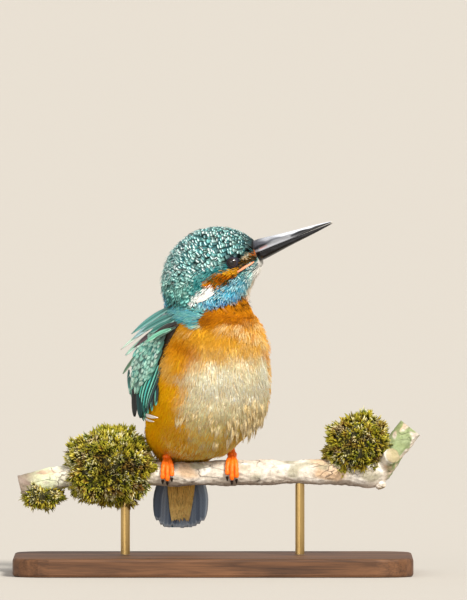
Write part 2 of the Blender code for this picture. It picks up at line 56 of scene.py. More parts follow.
# centre x, y, z, heading, pitch, depth to the breast, depth to the back, half width
TRUNK_SECTIONS = (
    (-13.9, 14.4, 45.0, 22.0, 35.0, 6.0, 6.0, 8.5),
    (-10.5, 10.0, 52.6, 22.0, 33.0, 9.5, 12.0, 13.8),
    (-7.7, 5.0, 59.8, 22.0, 28.0, 19.0, 17.0, 19.5),
    (-2.8, -2.0, 72.0, 22.0, 22.0, 24.0, 20.5, 24.7),
    (0.0, -8.5, 85.0, 22.0, 19.0, 25.0, 21.0, 23.9),
    (0.8, -13.6, 98.0, 24.0, 15.0, 23.0, 20.0, 21.9),
    (0.4, -17.2, 107.0, 38.0, 9.0, 20.6, 19.0, 20.6),
    (-0.6, -18.4, 112.2, 58.0, 5.0, 19.4, 19.4, 19.0),
)
HEAD_MIDDLE = np.array((-0.4, -19.0, 129.0))
CROWN_RADIUS, CROWN_SWELL, CROWN_FLATTEST = 20.05, 3.9, 129.0
NAPE_ANGLE, FOREHEAD_ANGLE, CROWN_HALF_SWEEP = 213.0, 39.0, 87.0
THROAT_CURVE = ((20.0, -17.4), (10.5, -10.5), (17.8, -4.0), (22.6, 4.2))
THROAT_DRAWN_IN = 0.90        # length of the first head section's throat arm
HEAD_SECTIONS, ROLL_SHARE = 9, 0.4
HEAD_WIDTH = (18.0, 7.5, 5.0)
SECTION_POWER = 2.25
BUNCHED = (6.8, 8.6)          # u between which the sections bunch up at the throat
EYE_RADIUS, EYE_FORWARD, EYE_UP, EYE_OUT = 2.75, 11.4, 7.2, 9.9
BILL_LENGTH, BILL_HALF_WIDTH = 33.6, 4.7
UPPER_BILL_DEPTH, LOWER_BILL_DEPTH = 4.9, 3.9
BILL_LEVEL = (22.3, 10.4)

# depth of the coat over the skin, against u
COAT_SECTIONS = (0.0, 1.5, 4.0, 7.0, 9.5, 12.5, 15.0, 16.0)
COAT_DEPTHS = (1.6, 2.4, 3.0, 2.7, 2.2, 1.6, 0.9, 0.35)
# hollow over the left thigh and (minus) fullness over the right: depth, u, its reach, v, its reach
THIGHS = ((2.8, 1.4, 0.9, -0.95, 0.5), (2.6, 2.5, 0.7, -1.3, 0.4), (-2.6, 2.0, 0.8, 1.65, 0.4))


# ---- numbers ----------------------------------------------------------------------------
def paint(red, green, blue):
    """A colour given as 0 to 255 on screen, as linear light."""
    c = np.array((red, green, blue)) / 255.0
    return np.where(c < 0.04045, c / 12.92, ((c + 0.055) / 1.055) ** 2.4)


def light(colour):
    """A colour as linear light; only a tuple still has to be turned into it."""
    return paint(*colour) if isinstance(colour, tuple) else colour


def unit(a):
    """Each vector over its own length."""
    return a / np.maximum(np.linalg.norm(a, axis=-1, keepdims=True), 1e-9)


def ease(x, low, high):
    """0 below low, 1 above high, smooth between them."""
    t = np.clip((x - low) / (high - low), 0.0, 1.0)
    return t * t * (3 - 2 * t)


def hump(x, middle, width):
    """A bell of height 1 round the middle."""
    return np.exp(-((x - middle) / width) ** 2)


def mix(a, b, share):
    """A share of the way from a to b; colours may be tuples."""
    a, b = light(a), light(b)
    return a + (b - a) * np.asarray(share)[..., None]


def turned(v):
    """An angle brought to between minus and plus half a turn."""
    return (v + math.pi) % TURN - math.pi


def waves(points, size, seed, layers=2):
    """Smooth noise of about -1 to 1: sines in random directions, each layer half the size."""
    random = np.random.default_rng(seed)
    total = np.zeros(points.shape[:-1])
    for layer in range(layers):
        for _ in range(6):
            way = unit(random.normal(size=points.shape[-1]))
            phase = points @ way * (TURN / size * 2 ** layer) + random.uniform(0, TURN)
            total += np.sin(phase) / 2 ** layer
    return total / 3.4


def bezier(points, t):
    """Cubic curve from the first to the last of four points, drawn by the two between."""
    a, b, c, d = (np.asarray(p, float) for p in points)
    return a * (1 - t) ** 3 + 3 * b * t * (1 - t) ** 2 + 3 * c * t ** 2 * (1 - t) + d * t ** 3


def through(rows, s):
    """Smooth curve through rows at numbers s: cubics whose slope is half the step past each row."""
    last = len(rows) - 1
    k = np.clip(np.floor(s), 0, last - 1).astype(int)
    t = np.clip(s - k, 0.0, 1.0).reshape(np.shape(s) + (1,) * (rows.ndim - 1))
    here, there = rows[k], rows[k + 1]
    leave = (there - rows[np.maximum(k - 1, 0)]) / 2
    arrive = (rows[np.minimum(k + 2, last)] - here) / 2
    return (here * (1 + 2 * t) * (1 - t) ** 2 + leave * t * (1 - t) ** 2
            + there * t * t * (3 - 2 * t) + arrive * t * t * (t - 1))


def spline(points, count):
    """The curve through points at even steps of their numbering."""
    return through(np.asarray(points, float), np.linspace(0.0, len(points) - 1.0, count))


# ---- meshes -----------------------------------------------------------------------------
def put(name, points, faces, material, replaced=(), tints=None, maps=None):
    """A mesh object from points in millimetres and arrays of faces, riding on the one body.

    tints are point colours by name, maps are UV maps by name with one pair for each point.
    """
    corners = np.concatenate([f.ravel() for f in faces]).astype(np.int32)
    counts = np.concatenate([np.full(len(f), f.shape[1]) for f in faces]).astype(np.int32)
    starts = np.concatenate(([0], np.cumsum(counts)[:-1])).astype(np.int32)
    mesh = bpy.data.meshes.new(name)
    mesh.vertices.add(len(points))
    mesh.vertices.foreach_set("co", (points * MM).astype(np.float32).ravel())
    mesh.loops.add(len(corners))
    mesh.loops.foreach_set("vertex_index", corners)
    mesh.polygons.add(len(counts))
    mesh.polygons.foreach_set("loop_start", starts)
    mesh.update(calc_edges=True)
    for key, values in (maps or {}).items():
        layer = mesh.uv_layers.new(name=key)
        layer.data.foreach_set("uv", values[corners].astype(np.float32).ravel())
    for key, values in (tints or {}).items():
        layer = mesh.color_attributes.new(name=key, type="FLOAT_COLOR", domain="POINT")
        if values.shape[1] == 3:
            values = with_strength(values, 1.0)
        layer.data.foreach_set("color", values.astype(np.float32).ravel())
    mesh.shade_smooth()
    mesh.materials.append(material)
    item = bpy.data.objects.new(name, mesh)
    bpy.context.scene.collection.objects.link(item)
    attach(item, "root")
    if replaced:
        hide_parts(*replaced)
    return item


def with_strength(colours, strength):
    """Colours with a strength as their fourth value, given once or for each of them."""
    fourth = np.broadcast_to(np.reshape(strength, (-1, 1)), (len(colours), 1))
    return np.concatenate((colours, fourth), axis=1)


def grid_faces(rows, columns):
    """Quads of a grid whose columns join up; rows run along, columns run around."""
    r, c = np.meshgrid(np.arange(rows - 1), np.arange(columns), indexing="ij")
    n = (c + 1) % columns
    quads = (r * columns + c, r * columns + n, (r + 1) * columns + n, (r + 1) * columns + c)
    return np.stack(quads, axis=-1).reshape(-1, 4)


def loft(rings):
    """Points and faces of a closed tube through rings, its ends closed by a fan on their middles."""
    rows, columns = rings.shape[:2]
    points = np.concatenate((rings.reshape(-1, 3), rings[:1].mean(axis=1), rings[-1:].mean(axis=1)))
    k = np.arange(columns)
    n = (k + 1) % columns
    last = (rows - 1) * columns
    low = np.stack((n, k, np.full(columns, rows * columns)), axis=1)
    high = np.stack((last + k, last + n, np.full(columns, rows * columns + 1)), axis=1)
    return points, [grid_faces(rows, columns), np.concatenate((low, high))]


def merged(shells):
    """Several (points, faces) shells as one, faces grouped by their number of corners."""
    points, groups, start = [], {}, 0
    for shell_points, shell_faces in shells:
        points.append(shell_points)
        for f in shell_faces:
            groups.setdefault(f.shape[1], []).append(f + start)
        start += len(shell_points)
    return np.concatenate(points), [np.concatenate(g) for g in groups.values()]


def tube_rings(path, radii, sides):
    """Circles square to a path, each turned as little as possible from the one before."""
    along = unit(np.gradient(path, axis=0))
    across = np.cross(along[0], (0.31, 0.17, 0.93))
    turn = np.arange(sides) * TURN / sides
    rings = []
    for middle, forward, radius in zip(path, along, radii):
        across = unit(across - forward * across.dot(forward))
        other = np.cross(forward, across)
        circle = np.cos(turn)[:, None] * across + np.sin(turn)[:, None] * other
        rings.append(middle + radius * circle)
    return np.array(rings)


# ---- the body surface -------------------------------------------------------------------
def heading_vector(degrees):
    """The level direction turned by degrees from the front: (sine, -cosine, 0)."""
    angle = math.radians(degrees)
    return np.array((math.sin(angle), -math.cos(angle), 0.0))


def right_vector(degrees):
    """The level direction to the bird's right at that heading: (-cosine, -sine, 0)."""
    angle = math.radians(degrees)
    return np.array((-math.cos(angle), -math.sin(angle), 0.0))


def bill_direction():
    """The head's heading tipped up: heading times cosine plus up times sine of the rise."""
    rise = math.radians(BILL_RISE)
    return heading_vector(HEAD_HEADING) * math.cos(rise) + UP * math.sin(rise)


def head_point(forward, up):
    """The head's middle plus so much forward and so much up."""
    return HEAD_MIDDLE + forward * heading_vector(HEAD_HEADING) + UP * up


def roll_matrix(share=1.0):
    """A turn by a share of the head's roll about the bill's direction."""
    return np.array(Matrix.Rotation(math.radians(HEAD_ROLL * share), 3, Vector(bill_direction())))


def rolled(point, share=1.0):
    """A point turned with the head's roll about the bill's direction."""
    return HEAD_MIDDLE + roll_matrix(share) @ (np.asarray(point) - HEAD_MIDDLE)


def trunk_row(x, y, z, heading, pitch, front, back, half_width):
    """A trunk section's centre, then its arms to the breast, to the back and to the right."""
    tilt = math.radians(pitch)
    ventral = heading_vector(heading) * math.cos(tilt) - UP * math.sin(tilt)
    return np.array((x, y, z)), ventral * front, -ventral * back, right_vector(heading) * half_width


def head_row(k):
    """The same for a head section, from the crown's widening arc to the throat's curve."""
    share = k / (HEAD_SECTIONS - 1)
    angle = NAPE_ANGLE + (FOREHEAD_ANGLE - NAPE_ANGLE) * share
    radius = CROWN_RADIUS + CROWN_SWELL * ((angle - CROWN_FLATTEST) / CROWN_HALF_SWEEP) ** 2
    rolling = min(1.0, share / ROLL_SHARE)
    angle = math.radians(angle)
    crown = rolled(head_point(radius * math.cos(angle), radius * math.sin(angle)), rolling)
    throat = rolled(head_point(*bezier(THROAT_CURVE, share)), rolling)
    middle = (crown + throat) / 2
    half_width = HEAD_WIDTH[0] - HEAD_WIDTH[1] * share ** 1.2 - HEAD_WIDTH[2] * share ** 6
    side = roll_matrix(rolling) @ right_vector(HEAD_HEADING) * half_width
    return middle, (throat - middle) * (THROAT_DRAWN_IN if k == 0 else 1.0), crown - middle, side


ROWS = np.array([trunk_row(*section) for section in TRUNK_SECTIONS]
                + [head_row(k) for k in range(HEAD_SECTIONS)])
LAST = len(ROWS) - 1


def body_arms(u):
    """The section rows blended at u, carried on straight past both ends."""
    u = np.asarray(u, float)
    past = np.maximum(u - LAST, 0.0)[..., None, None] * (ROWS[-1] - ROWS[-2]) / 2
    return through(ROWS, u) + past + np.minimum(u, 0.0)[..., None, None] * (ROWS[1] - ROWS[0]) / 2


def body_points(u, v):
    """Section middle plus its arms weighed by cosine and sine of v, raised to a squarer power."""
    row = body_arms(u)
    c, s = (np.sign(x) * np.abs(x) ** (2 / SECTION_POWER) for x in (np.cos(v), np.sin(v)))
    return (row[..., 0, :] + np.maximum(c, 0)[..., None] * row[..., 1, :]
            + np.maximum(-c, 0)[..., None] * row[..., 2, :] + s[..., None] * row[..., 3, :])


def slopes(surface, a, b, step):
    """Change of a surface point for one unit of each of its two parameters."""
    first = (surface(a + step, b) - surface(a - step, b)) / (2 * step)
    second = (surface(a, b + step) - surface(a, b - step)) / (2 * step)
    return first, second


def body_stretch(u, v):
    """Millimetres for one unit of u and for one unit of v."""
    return [np.linalg.norm(x, axis=-1) for x in slopes(body_points, u, v, 0.04)]


def body_normals(u, v):
    """Outward directions; where the sections bunch at the throat they are blended from either side."""
    def straight(place):
        """Unit cross product of the two slopes there."""
        return unit(np.cross(*slopes(body_points, place, v, 0.03)))

    low, high = BUNCHED
    share = np.clip((u - low) / (high - low), 0.0, 1.0)
    below, above = (straight(np.full(np.shape(u), end)) for end in BUNCHED)
    inside = ((share > 0) & (share < 1))[..., None]
    return np.where(inside, unit(mix(below, above, share)), straight(u))


def coat_depth(u):
    """The coat's depth at u, read off between the sections."""
    return np.interp(u, COAT_SECTIONS, COAT_DEPTHS)


def pressed(u, v):
    """How deep the coat lies inside the body surface: the sum of the humps over the thighs."""
    return sum(depth * hump(u, row, length) * hump(turned(v), side, width)
               for depth, row, length, side, width in THIGHS)


def skin_points(u, v):
    """The body surface drawn in along its normals by the coat's depth and by what presses on it."""
    return body_points(u, v) - body_normals(u, v) * (coat_depth(u) + pressed(u, v))[..., None]


def unwrap(u, v):
    """Place of a skin point on the body's flat pattern, 0 to 1 each way."""
    across = 0.02 + 0.96 * ((v / TURN + 0.5) % 1.0)
    down = 0.02 + 0.96 * np.clip(u, -1, LAST + 1) / (LAST + 2) + 0.05
    return np.stack((across, down), axis=-1)


# ---- feathers ---------------------------------------------------------------------------
# a feather's cross section: places from edge to edge, and heights in shares of its thickness
HAIR = (np.array((-1.0, 0.0, 1.0)), np.array((0.0, 1.0, 0.0)))
VANE = (np.array((-1.0, -0.4, 0.4, 1.0)), np.array((0.0, 1.0, 1.0, 0.0)))
QUILL = (np.array((-1.0, -0.72, -0.36, -0.07, 0.0, 0.07, 0.36, 0.72, 1.0, 0.5, 0.0, -0.5)),
         np.array((0.0, 0.5, 0.86, 1.0, 1.5, 1.0, 0.86, 0.5, 0.0, 0.05, 0.35, 0.05)))
PATCH = 0.003                 # size of one tuft on the flat pattern
PIECE_LIMIT = 190000          # triangles in one piece
WHOLE_TURN = (-math.pi, math.pi)


def walk(u, v, length, turn, shares):
    """Follows the coat from each root down u, turned by `turn` towards the right, step by step."""
    us, vs = [u], [v]
    for step in np.diff(shares):
        stretch, girth = body_stretch(us[-1], vs[-1])
        way = length * step
        us.append(us[-1] - np.cos(turn) * way / np.maximum(stretch, 1.2))
        vs.append(vs[-1] + np.sin(turn) * way / np.maximum(girth, 3.0))
    return np.stack(us, axis=1), np.stack(vs, axis=1)


def feather_shells(axis, normals, half_widths, thickness, section):
    """Closed flattened tubes: for each feather, rings of the section along its axis."""
    places, heights = section
    along = unit(np.gradient(axis, axis=1))
    side = unit(np.cross(along, normals))
    up = np.cross(side, along)
    points = (axis[:, :, None] + side[:, :, None] * (half_widths[..., None] * places)[..., None]
              + up[:, :, None] * (thickness[..., None] * heights)[..., None])
    count, rings, sides = points.shape[:3]
    start = np.arange(count)[:, None] * rings * sides
    quads = (start[:, None] + grid_faces(rings, sides)).reshape(-1, 4)
    ring = np.arange(sides)
    ends = np.concatenate((start + ring[::-1], start + (rings - 1) * sides + ring))
    return points.reshape(-1, 3), [quads, ends]


def coat(name, material, lie, half_widths, thickness, section, shares, tint, places,
         mark=np.zeros(4)):
    """Feather meshes, in as many pieces as the limit of triangles needs.

    lie is each feather's axis and its normals.  tint is a colour for each ring of each feather,
    mark one colour and strength for each feather, and places the root on the body's flat pattern.
    """
    axis, normals = lie
    count, rings = half_widths.shape
    sides = len(section[0])
    normals = np.broadcast_to(normals, axis.shape)
    thickness = np.broadcast_to(thickness, half_widths.shape)
    tint = np.clip(np.broadcast_to(tint, (count, rings, 3)), 0, 1)
    mark = np.broadcast_to(mark, (count, 4))
    triangles = 2 * (rings - 1) * sides + 2 * (sides - 2)
    pieces = max(1, math.ceil(count * triangles / PIECE_LIMIT))
    made = []
    for number, chosen in enumerate(np.array_split(np.arange(count), pieces)):
        points, faces = feather_shells(axis[chosen], normals[chosen], half_widths[chosen],
                                       thickness[chosen], section)
        across = np.broadcast_to(section[0] * 0.5 + 0.5, (len(chosen), rings, sides))
        vane = np.stack((across, np.broadcast_to(shares[:, None], across.shape)), axis=-1)
        flat = places[chosen][:, None, None] + PATCH * (vane - 0.5)
        tints = {
            "tint": np.broadcast_to(tint[chosen][:, :, None], (*across.shape, 3)).reshape(-1, 3),
            "mark": np.broadcast_to(mark[chosen][:, None, None], (*across.shape, 4)).reshape(-1, 4),
        }
        maps = {"OFBake": flat.reshape(-1, 2), "vane": vane.reshape(-1, 2)}
        title = name if pieces == 1 else f"{name}_{number + 1}"
        made.append(put(title, points, faces, material, tints=tints, maps=maps))
    return made


def root_rows(u_span, v_span, along, across, seed):
    """Feather roots in rows down the body, alternately shifted, thinned where the rows crowd."""
    random = np.random.default_rng(seed)
    u_fine = np.linspace(*u_span, 200)
    lines = [body_points(u_fine, np.full(200, v)) for v in np.linspace(*v_span, 9)]
    widest = np.max([np.linalg.norm(np.diff(line, axis=0), axis=1) for line in lines], axis=0)
    reach = np.concatenate(([0.0], np.cumsum(widest)))
    row_u = np.interp(np.arange(0.0, reach[-1], along), reach, u_fine)
    v_fine = np.linspace(*v_span, 181)
    found = []
    for number, (u, gap) in enumerate(zip(row_u, np.gradient(row_u))):
        ring = body_points(np.full(181, u), v_fine)
        girth = np.concatenate(([0.0], np.cumsum(np.linalg.norm(np.diff(ring, axis=0), axis=1))))
        shift = (number % 2) * across / 2 + random.uniform(0, 0.2) * across
        v = np.interp(np.arange(shift, girth[-1], across), girth, v_fine)
        found.append(np.stack((np.full(len(v), u), v, np.full(len(v), gap)), axis=1))
    u, v, gap = np.concatenate(found).T
    stretch, spread = body_stretch(u, v)
    kept = random.random(len(u)) < stretch * gap / along * 1.1
    u = u + random.normal(0, 0.16, len(u)) * along / np.maximum(stretch, 2.0)
    v = v + random.normal(0, 0.16, len(v)) * across / np.maximum(spread, 3.0)
    return u[kept], v[kept]


# ---- markings ---------------------------------------------------------------------------
# brush strokes of the face: forward and up from the eye, half width
EAR_STRIPE = ((3.0, -3.6, 0.8), (0.2, -5.4, 1.9), (-3.4, -7.6, 2.9), (-7.3, -9.5, 3.1), (-10.4, -10.6, 1.5))
EAR_FRONT = ((3.0, -4.0, 0.8), (-2.6, -5.4, 1.4))
EAR_DEEP = ((0.6, -7.2, 0.9), (-3.6, -9.4, 1.5), (-6.8, -8.0, 1.1))
EAR_INK = ((-0.4, -8.9, 0.4), (-3.2, -11.4, 0.7), (-6.6, -13.6, 0.6))
WHITE_PATCH = ((-8.6, -12.6, 1.3), (-12.0, -15.1, 1.8), (-15.6, -17.6, 1.3), (-18.4, -19.1, 0.6))
MALAR = ((6.6, -4.2, 1.2), (5.2, -9.0, 2.9), (1.0, -12.9, 4.0), (-4.6, -16.9, 3.2), (-9.5, -18.4, 1.9),
         (-13.5, -19.2, 0.9))
MALAR_EDGE = ((2.0, -16.0, 0.8), (-4.0, -19.4, 0.9), (-10.0, -20.2, 0.8))
CHEEK_BAND = ((-0.5, -3.2, 0.8), (-5.0, -3.6, 1.4), (-10.0, -5.4, 2.4), (-14.0, -9.0, 2.8),
              (-15.6, -13.6, 2.2))
LORE_LINE = ((2.2, 1.8, 0.7), (5.0, 3.8, 0.7), (8.8, 6.4, 1.1), (10.0, 9.0, 1.3))
LORE_BUFF = ((4.4, 1.4, 0.7), (6.6, 2.4, 0.8))
LORE_RUFOUS = ((8.6, 3.4, 1.2), (11.0, 5.8, 1.2))
LORE_DARK = ((3.2, -1.2, 1.5), (7.4, 1.2, 1.9), (10.6, 3.6, 1.6))
CHIN = ((11.8, -1.0, 1.5), (10.5, -3.8, 1.6), (9.7, -6.8, 0.9), (9.4, -9.0, 0.4))
PALE_FLANK = ((-31.0, -38.0, 1.5), (-28.6, -45.0, 2.4), (-27.0, -51.0, 1.2))
PALE_SPOT = ((-24.2, -49.6, 0.9), (-23.4, -53.0, 0.9))
GOLD_SPOT = ((-24.0, -35.5, 2.2), (-17.0, -40.0, 2.8))
PALE_SHOULDER = ((-28.0, -29.5, 1.4), (-20.0, -31.6, 1.2))
NECK_PATCH = ((-30.0, -22.0, 3.6), (-20.0, -23.0, 3.2), (-15.5, -22.4, 2.0))
NECK_POINT = ((-19.0, -24.0, 2.6), (-15.6, -29.6, 0.4))
NAPE_STREAK = ((-18.4, -19.1, 0.5), (-27.5, -20.7, 0.6))
# height of the orange breast's upper edge, against the distance forward
BREAST_EDGE = ((-30.0, -27.0, -17.6, -16.0, -11.6, -6.9, -2.7, 1.5, 4.9, 7.7, 12.0),
               (-60.0, -45.0, -26.0, -22.4, -20.9, -20.6, -19.6, -16.9, -14.7, -15.6, -17.0))
FOLD_LINE = (6.0, 0.60)          # u of the frayed fold across the breast at v 0, and its rise with v
VANED, SHORT, LONG = 0.0, 1.0, 2.0
# strokes laid under and over the ear stripe: path, softness, mottling, tips
UNDER_EAR = (
    (CHIN, 0.4, ((246, 242, 234),), (255, 255, 250)),
    (LORE_DARK, 0.5, ((92, 66, 26), (46, 40, 26), (128, 90, 34)), (120, 110, 70)),
)
OVER_EAR = (
    (WHITE_PATCH, 0.4, ((255, 255, 252), (250, 246, 240)), (255, 255, 252)),
    (LORE_RUFOUS, 0.4, ((176, 88, 18), (130, 62, 14), (196, 110, 30)), (226, 140, 50)),
    (LORE_LINE, 0.3, ((10, 10, 10),), (20, 24, 26)),
    (LORE_BUFF, 0.3, ((210, 186, 160), (160, 150, 120), (226, 206, 170)), (220, 215, 170)),
)


def eye_middle(sign):
    """The eye's middle: forward, up and out from the head's middle, rolled with the head."""
    return rolled(head_point(EYE_FORWARD, EYE_UP) + right_vector(HEAD_HEADING) * EYE_OUT * sign)


def side_chart(u, v):
    """Millimetres forward and up from the eye, seen square to the perch; both sides read alike."""
    point = body_points(u, np.abs(turned(v)))
    middle = eye_middle(1)
    return point[..., 0] - middle[0], point[..., 2] - middle[2]


def chart_place(a, b):
    """The (u, v) on the bird's right side whose place is forward a and up b from the eye."""
    u = np.linspace(7.0, 15.99, 360)[:, None] + np.zeros(240)
    v = np.linspace(0.15, 2.9, 240) + np.zeros((360, 1))
    grid_a, grid_b = side_chart(u, v)
    nearest = [np.argmin((grid_a - x) ** 2 + (grid_b - y) ** 2) for x, y in zip(a, b)]
    return u.flat[nearest], v.flat[nearest]


def stroke(a, b, path, soft):
    """1 inside a brush stroke through (forward, up, half width), fading out over soft."""
    nearest = np.full(np.shape(a), 1e9)
    for (a0, b0, w0), (a1, b1, w1) in zip(path, path[1:]):
        length = (a1 - a0) ** 2 + (b1 - b0) ** 2
        share = np.clip(((a - a0) * (a1 - a0) + (b - b0) * (b1 - b0)) / length, 0.0, 1.0)
        away = np.hypot(a - a0 - share * (a1 - a0), b - b0 - share * (b1 - b0))
        nearest = np.minimum(nearest, away - w0 - share * (w1 - w0))
    return ease(-nearest, -soft, soft)


def mottled(pick, *tones):
    """One of several colours each, chosen by equal shares of a number from 0 to 1."""
    table = np.array([paint(*tone) for tone in tones])
    return table[np.minimum((pick * len(tones)).astype(int), len(tones) - 1)]


def fold_share(u, v):
    """1 along the frayed fold of pale tips that crosses the upper breast, higher on the bird's right."""
    side = turned(v)
    line = FOLD_LINE[0] + FOLD_LINE[1] * side + 0.09 * np.sin(side * 9.0)
    upper = 0.7 * hump(u, line + 0.62, 0.2) * hump(side, -0.45, 0.4)
    return np.maximum(hump(u, line, 0.24), upper) * ease(-side, -0.75, -0.3) * ease(side, -1.7, -1.3)


class Plumage:
    """The coat's colours at (u, v), painted over one another.

    Kept for each place: ground colour, colour and strength of the bar or tip, and the kind of
    feather, from a vane by a short hair to a long one.
    """

    def __init__(self, u, v):
        """Starts with barred teal vanes all over; draws are made once for every place."""
        random = np.random.default_rng(3)
        shape = np.shape(u)
        self.u, self.v, self.here = u, v, body_points(u, v)
        self.fold = np.abs(turned(v))
        self.a, self.b = (x + random.normal(0, 0.2, shape) for x in side_chart(u, v))
        self.pick, self.pick_tip = random.random(shape), random.random(shape)
        self.jitter = 0.35 * random.normal(0, 1, shape)
        self.ground = self.tones((92, 168, 168), (68, 146, 152), (118, 176, 170), (50, 120, 128),
                                 (132, 166, 164))
        self.tip = self.tip_tones((228, 252, 248), (200, 246, 242), (244, 252, 252), (180, 238, 234))
        self.strength, self.kind = np.ones(shape), np.zeros(shape)

    def tones(self, *tones):
        """One of the tones, or between two of them, by each place's own draw."""
        return mottled(self.pick, *tones)

    def tip_tones(self, *tones):
        """The same by the draw kept for tips."""
        return mottled(self.pick_tip, *tones)

    def stroke(self, path, soft):
        """How much of a stroke of the side chart covers each place."""
        return stroke(self.a, self.b, path, soft)

    def cover(self, share, ground, tip, strength, kind):
        """Moves each value a share of the way to the new one."""
        self.ground, self.tip = mix(self.ground, ground, share), mix(self.tip, tip, share)
        self.strength = self.strength + (strength - self.strength) * share
        self.kind = self.kind + (kind - self.kind) * share

    def cover_strokes(self, share, strokes):
        """Covers with short hairs along each stroke, one stroke after another."""
        for path, soft, tones, tip in strokes:
            self.cover(self.stroke(path, soft) * share, self.tones(*tones), tip, 0.0, SHORT)


def crown_colours(p):
    """Greener down the nape, blackish over the brow, smoother and bluer behind the eye."""
    nape = ease(-p.b, 2.0, 14.0) * ease(-p.a, 4.0, 14.0) * 0.7
    p.cover(nape, p.tones((74, 170, 156), (46, 130, 124), (102, 186, 172), (62, 146, 134)),
            p.tip_tones((160, 232, 214), (128, 214, 198), (188, 242, 226)), 0.8, VANED)
    p.cover(ease(p.a, 2.0, 7.5) * ease(p.b, 4.6, 7.0) * 0.8, (24, 42, 46), (150, 200, 205), 0.8, VANED)
    p.cover(ease(p.a, 7.0, 9.5) * ease(p.b, 3.0, 5.0), (16, 18, 20), (70, 110, 120), 0.45, VANED)
    cheek = p.tones((42, 128, 134), (26, 84, 90), (76, 164, 164), (52, 140, 142))
    p.cover(p.stroke(CHEEK_BAND, 1.2) * 0.85, cheek, (140, 210, 208), 0.5, SHORT)
    p.cover(ease(-np.hypot(p.a, p.b), -4.4, -3.4) * 0.75, (44, 66, 72), (110, 140, 146), 0.3, VANED)
    p.cover(p.stroke(NAPE_STREAK, 0.4), p.tones((190, 160, 110), (150, 140, 96), (200, 176, 150)),
            (210, 190, 150), 0.3, 0.6)


def back_colours(p):
    """Deep green mantle, azure down the middle of the back."""
    trunk = ease(-p.u, -9.2, -8.0)
    p.cover(trunk, p.tones((20, 92, 96), (16, 76, 86), (30, 108, 108)), (88, 200, 196), 0.7, VANED)
    azure = p.tones((22, 150, 214), (10, 124, 200), (56, 176, 226))
    p.cover(trunk * ease(p.fold, 2.56, 2.78), azure, (140, 230, 250), 0.45, VANED)


def breast_colours(p):
    """Orange breast and flanks: golden below, deep on the upper right breast, pale along the fold.

    Returns the share of each place that is breast.
    """
    u, v = p.u, p.v
    upper = ease(np.interp(p.a, *BREAST_EDGE) - p.b, -0.3, 0.4) * ease(-p.fold, -2.0, -1.75)
    orange = np.where(u > 6.2, upper, ease(-p.fold, -1.92, -1.74))
    frayed = fold_share(u, v) * ease(waves(p.here, 3.6, 12), -0.9, 0.3)
    tone = p.tones((226, 150, 20), (232, 158, 30), (216, 138, 12))
    for share, tones in (
        (ease(waves(p.here, 12.0, 11), -0.5, 0.8), ((244, 178, 40),)),
        (ease(u, 5.95, 6.4) * ease(np.sin(v), -0.75, -0.2), ((182, 108, 0), (192, 118, 0), (166, 94, 0))),
        # lighter towards the throat: partly the breast's own yellower tone, partly painted light against the
        # shadow of the head above
        (ease(u, 7.4, 8.8) * 0.6, ((216, 138, 14),)),
        (hump(u, 5.2, 0.7) * ease(np.cos(v - 0.1), 0.4, 0.9) * 0.8, ((246, 190, 66),)),
        (ease(-u, -5.4, -3.6) * ease(p.fold, 0.35, 0.8), ((255, 186, 0), (255, 176, 0))),
        (frayed * 0.75, ((250, 220, 158), (208, 122, 26), (246, 202, 126))),
        (p.stroke(PALE_FLANK, 2.0) * 0.55, ((240, 208, 136), (232, 190, 104))),
        (p.stroke(PALE_SPOT, 1.2) * 0.8, ((252, 238, 204),)),
        (p.stroke(GOLD_SPOT, 1.6) * 0.8, ((224, 144, 4), (214, 132, 0))),
        (p.stroke(PALE_SHOULDER, 1.4) * 0.7, ((244, 206, 132), (218, 150, 56))),
    ):
        tone = mix(tone, p.tones(*tones), share)
    p.cover(orange, tone, mix((246, 206, 120), (255, 232, 178), frayed), 0.0, LONG)
    return orange


def belly_colours(p, orange):
    """Belly: a cream centre, partly its own pale feathers and partly painted sunlight, streaked down the lie
    and lower on the bird's left; olive gold towards the vent.
    """
    u, v = p.u, p.v
    lower = 1.8 + 0.9 * ease(v, 0.25, 0.9)
    # the cream centre: partly the belly's own pale feathers, partly painted sunlight on the middle of the
    # belly
    sunlit_cream = ease(u, lower - 0.3, lower + 1.0) * ease(-u, -5.8, -3.9)
    sunlit_cream = sunlit_cream * ease(-v, -1.3, -0.45) * ease(v, -1.3, -0.8)
    streak = 0.7 * waves(np.stack((v * 20.0, u * 1.4), axis=-1), 2.4, 5) + 0.8 * waves(p.here, 14.0, 6)
    sunlit_cream = sunlit_cream * 1.35 + 0.22 * streak * ease(sunlit_cream, 0.0, 0.5) + 0.10 * p.jitter
    sunlit_cream = ease(np.clip(sunlit_cream, 0.0, 1.0), 0.0, 0.95) * orange
    pale = p.tones((255, 242, 210), (254, 232, 190), (255, 250, 228))
    golden = p.tip_tones((255, 222, 128), (255, 206, 92), (255, 236, 164))
    p.cover(sunlit_cream, mix(pale, golden, ease(-u, -4.0, -2.6)), (255, 250, 236), 0.0, LONG)
    vent = ease(-u, -3.0, -1.9) * orange * ease(-p.fold, -1.35, -0.8)
    olive = p.tones((255, 226, 110), (232, 174, 40), (255, 246, 176), (250, 204, 84))
    p.cover(vent * 0.8, olive, (250, 230, 176), 0.0, LONG)


def neck_colours(p):
    """Turquoise neck side, running to a point over the breast."""
    neck = np.maximum(p.stroke(NECK_PATCH, 0.8), p.stroke(NECK_POINT, 0.6))
    turquoise = p.tones((120, 200, 196), (80, 170, 176), (150, 214, 210), (96, 176, 200))
    p.cover(neck * ease(p.u, 5.0, 5.6) * ease(-p.fold, -2.5, -2.2), turquoise, (190, 232, 228), 0.3, SHORT)


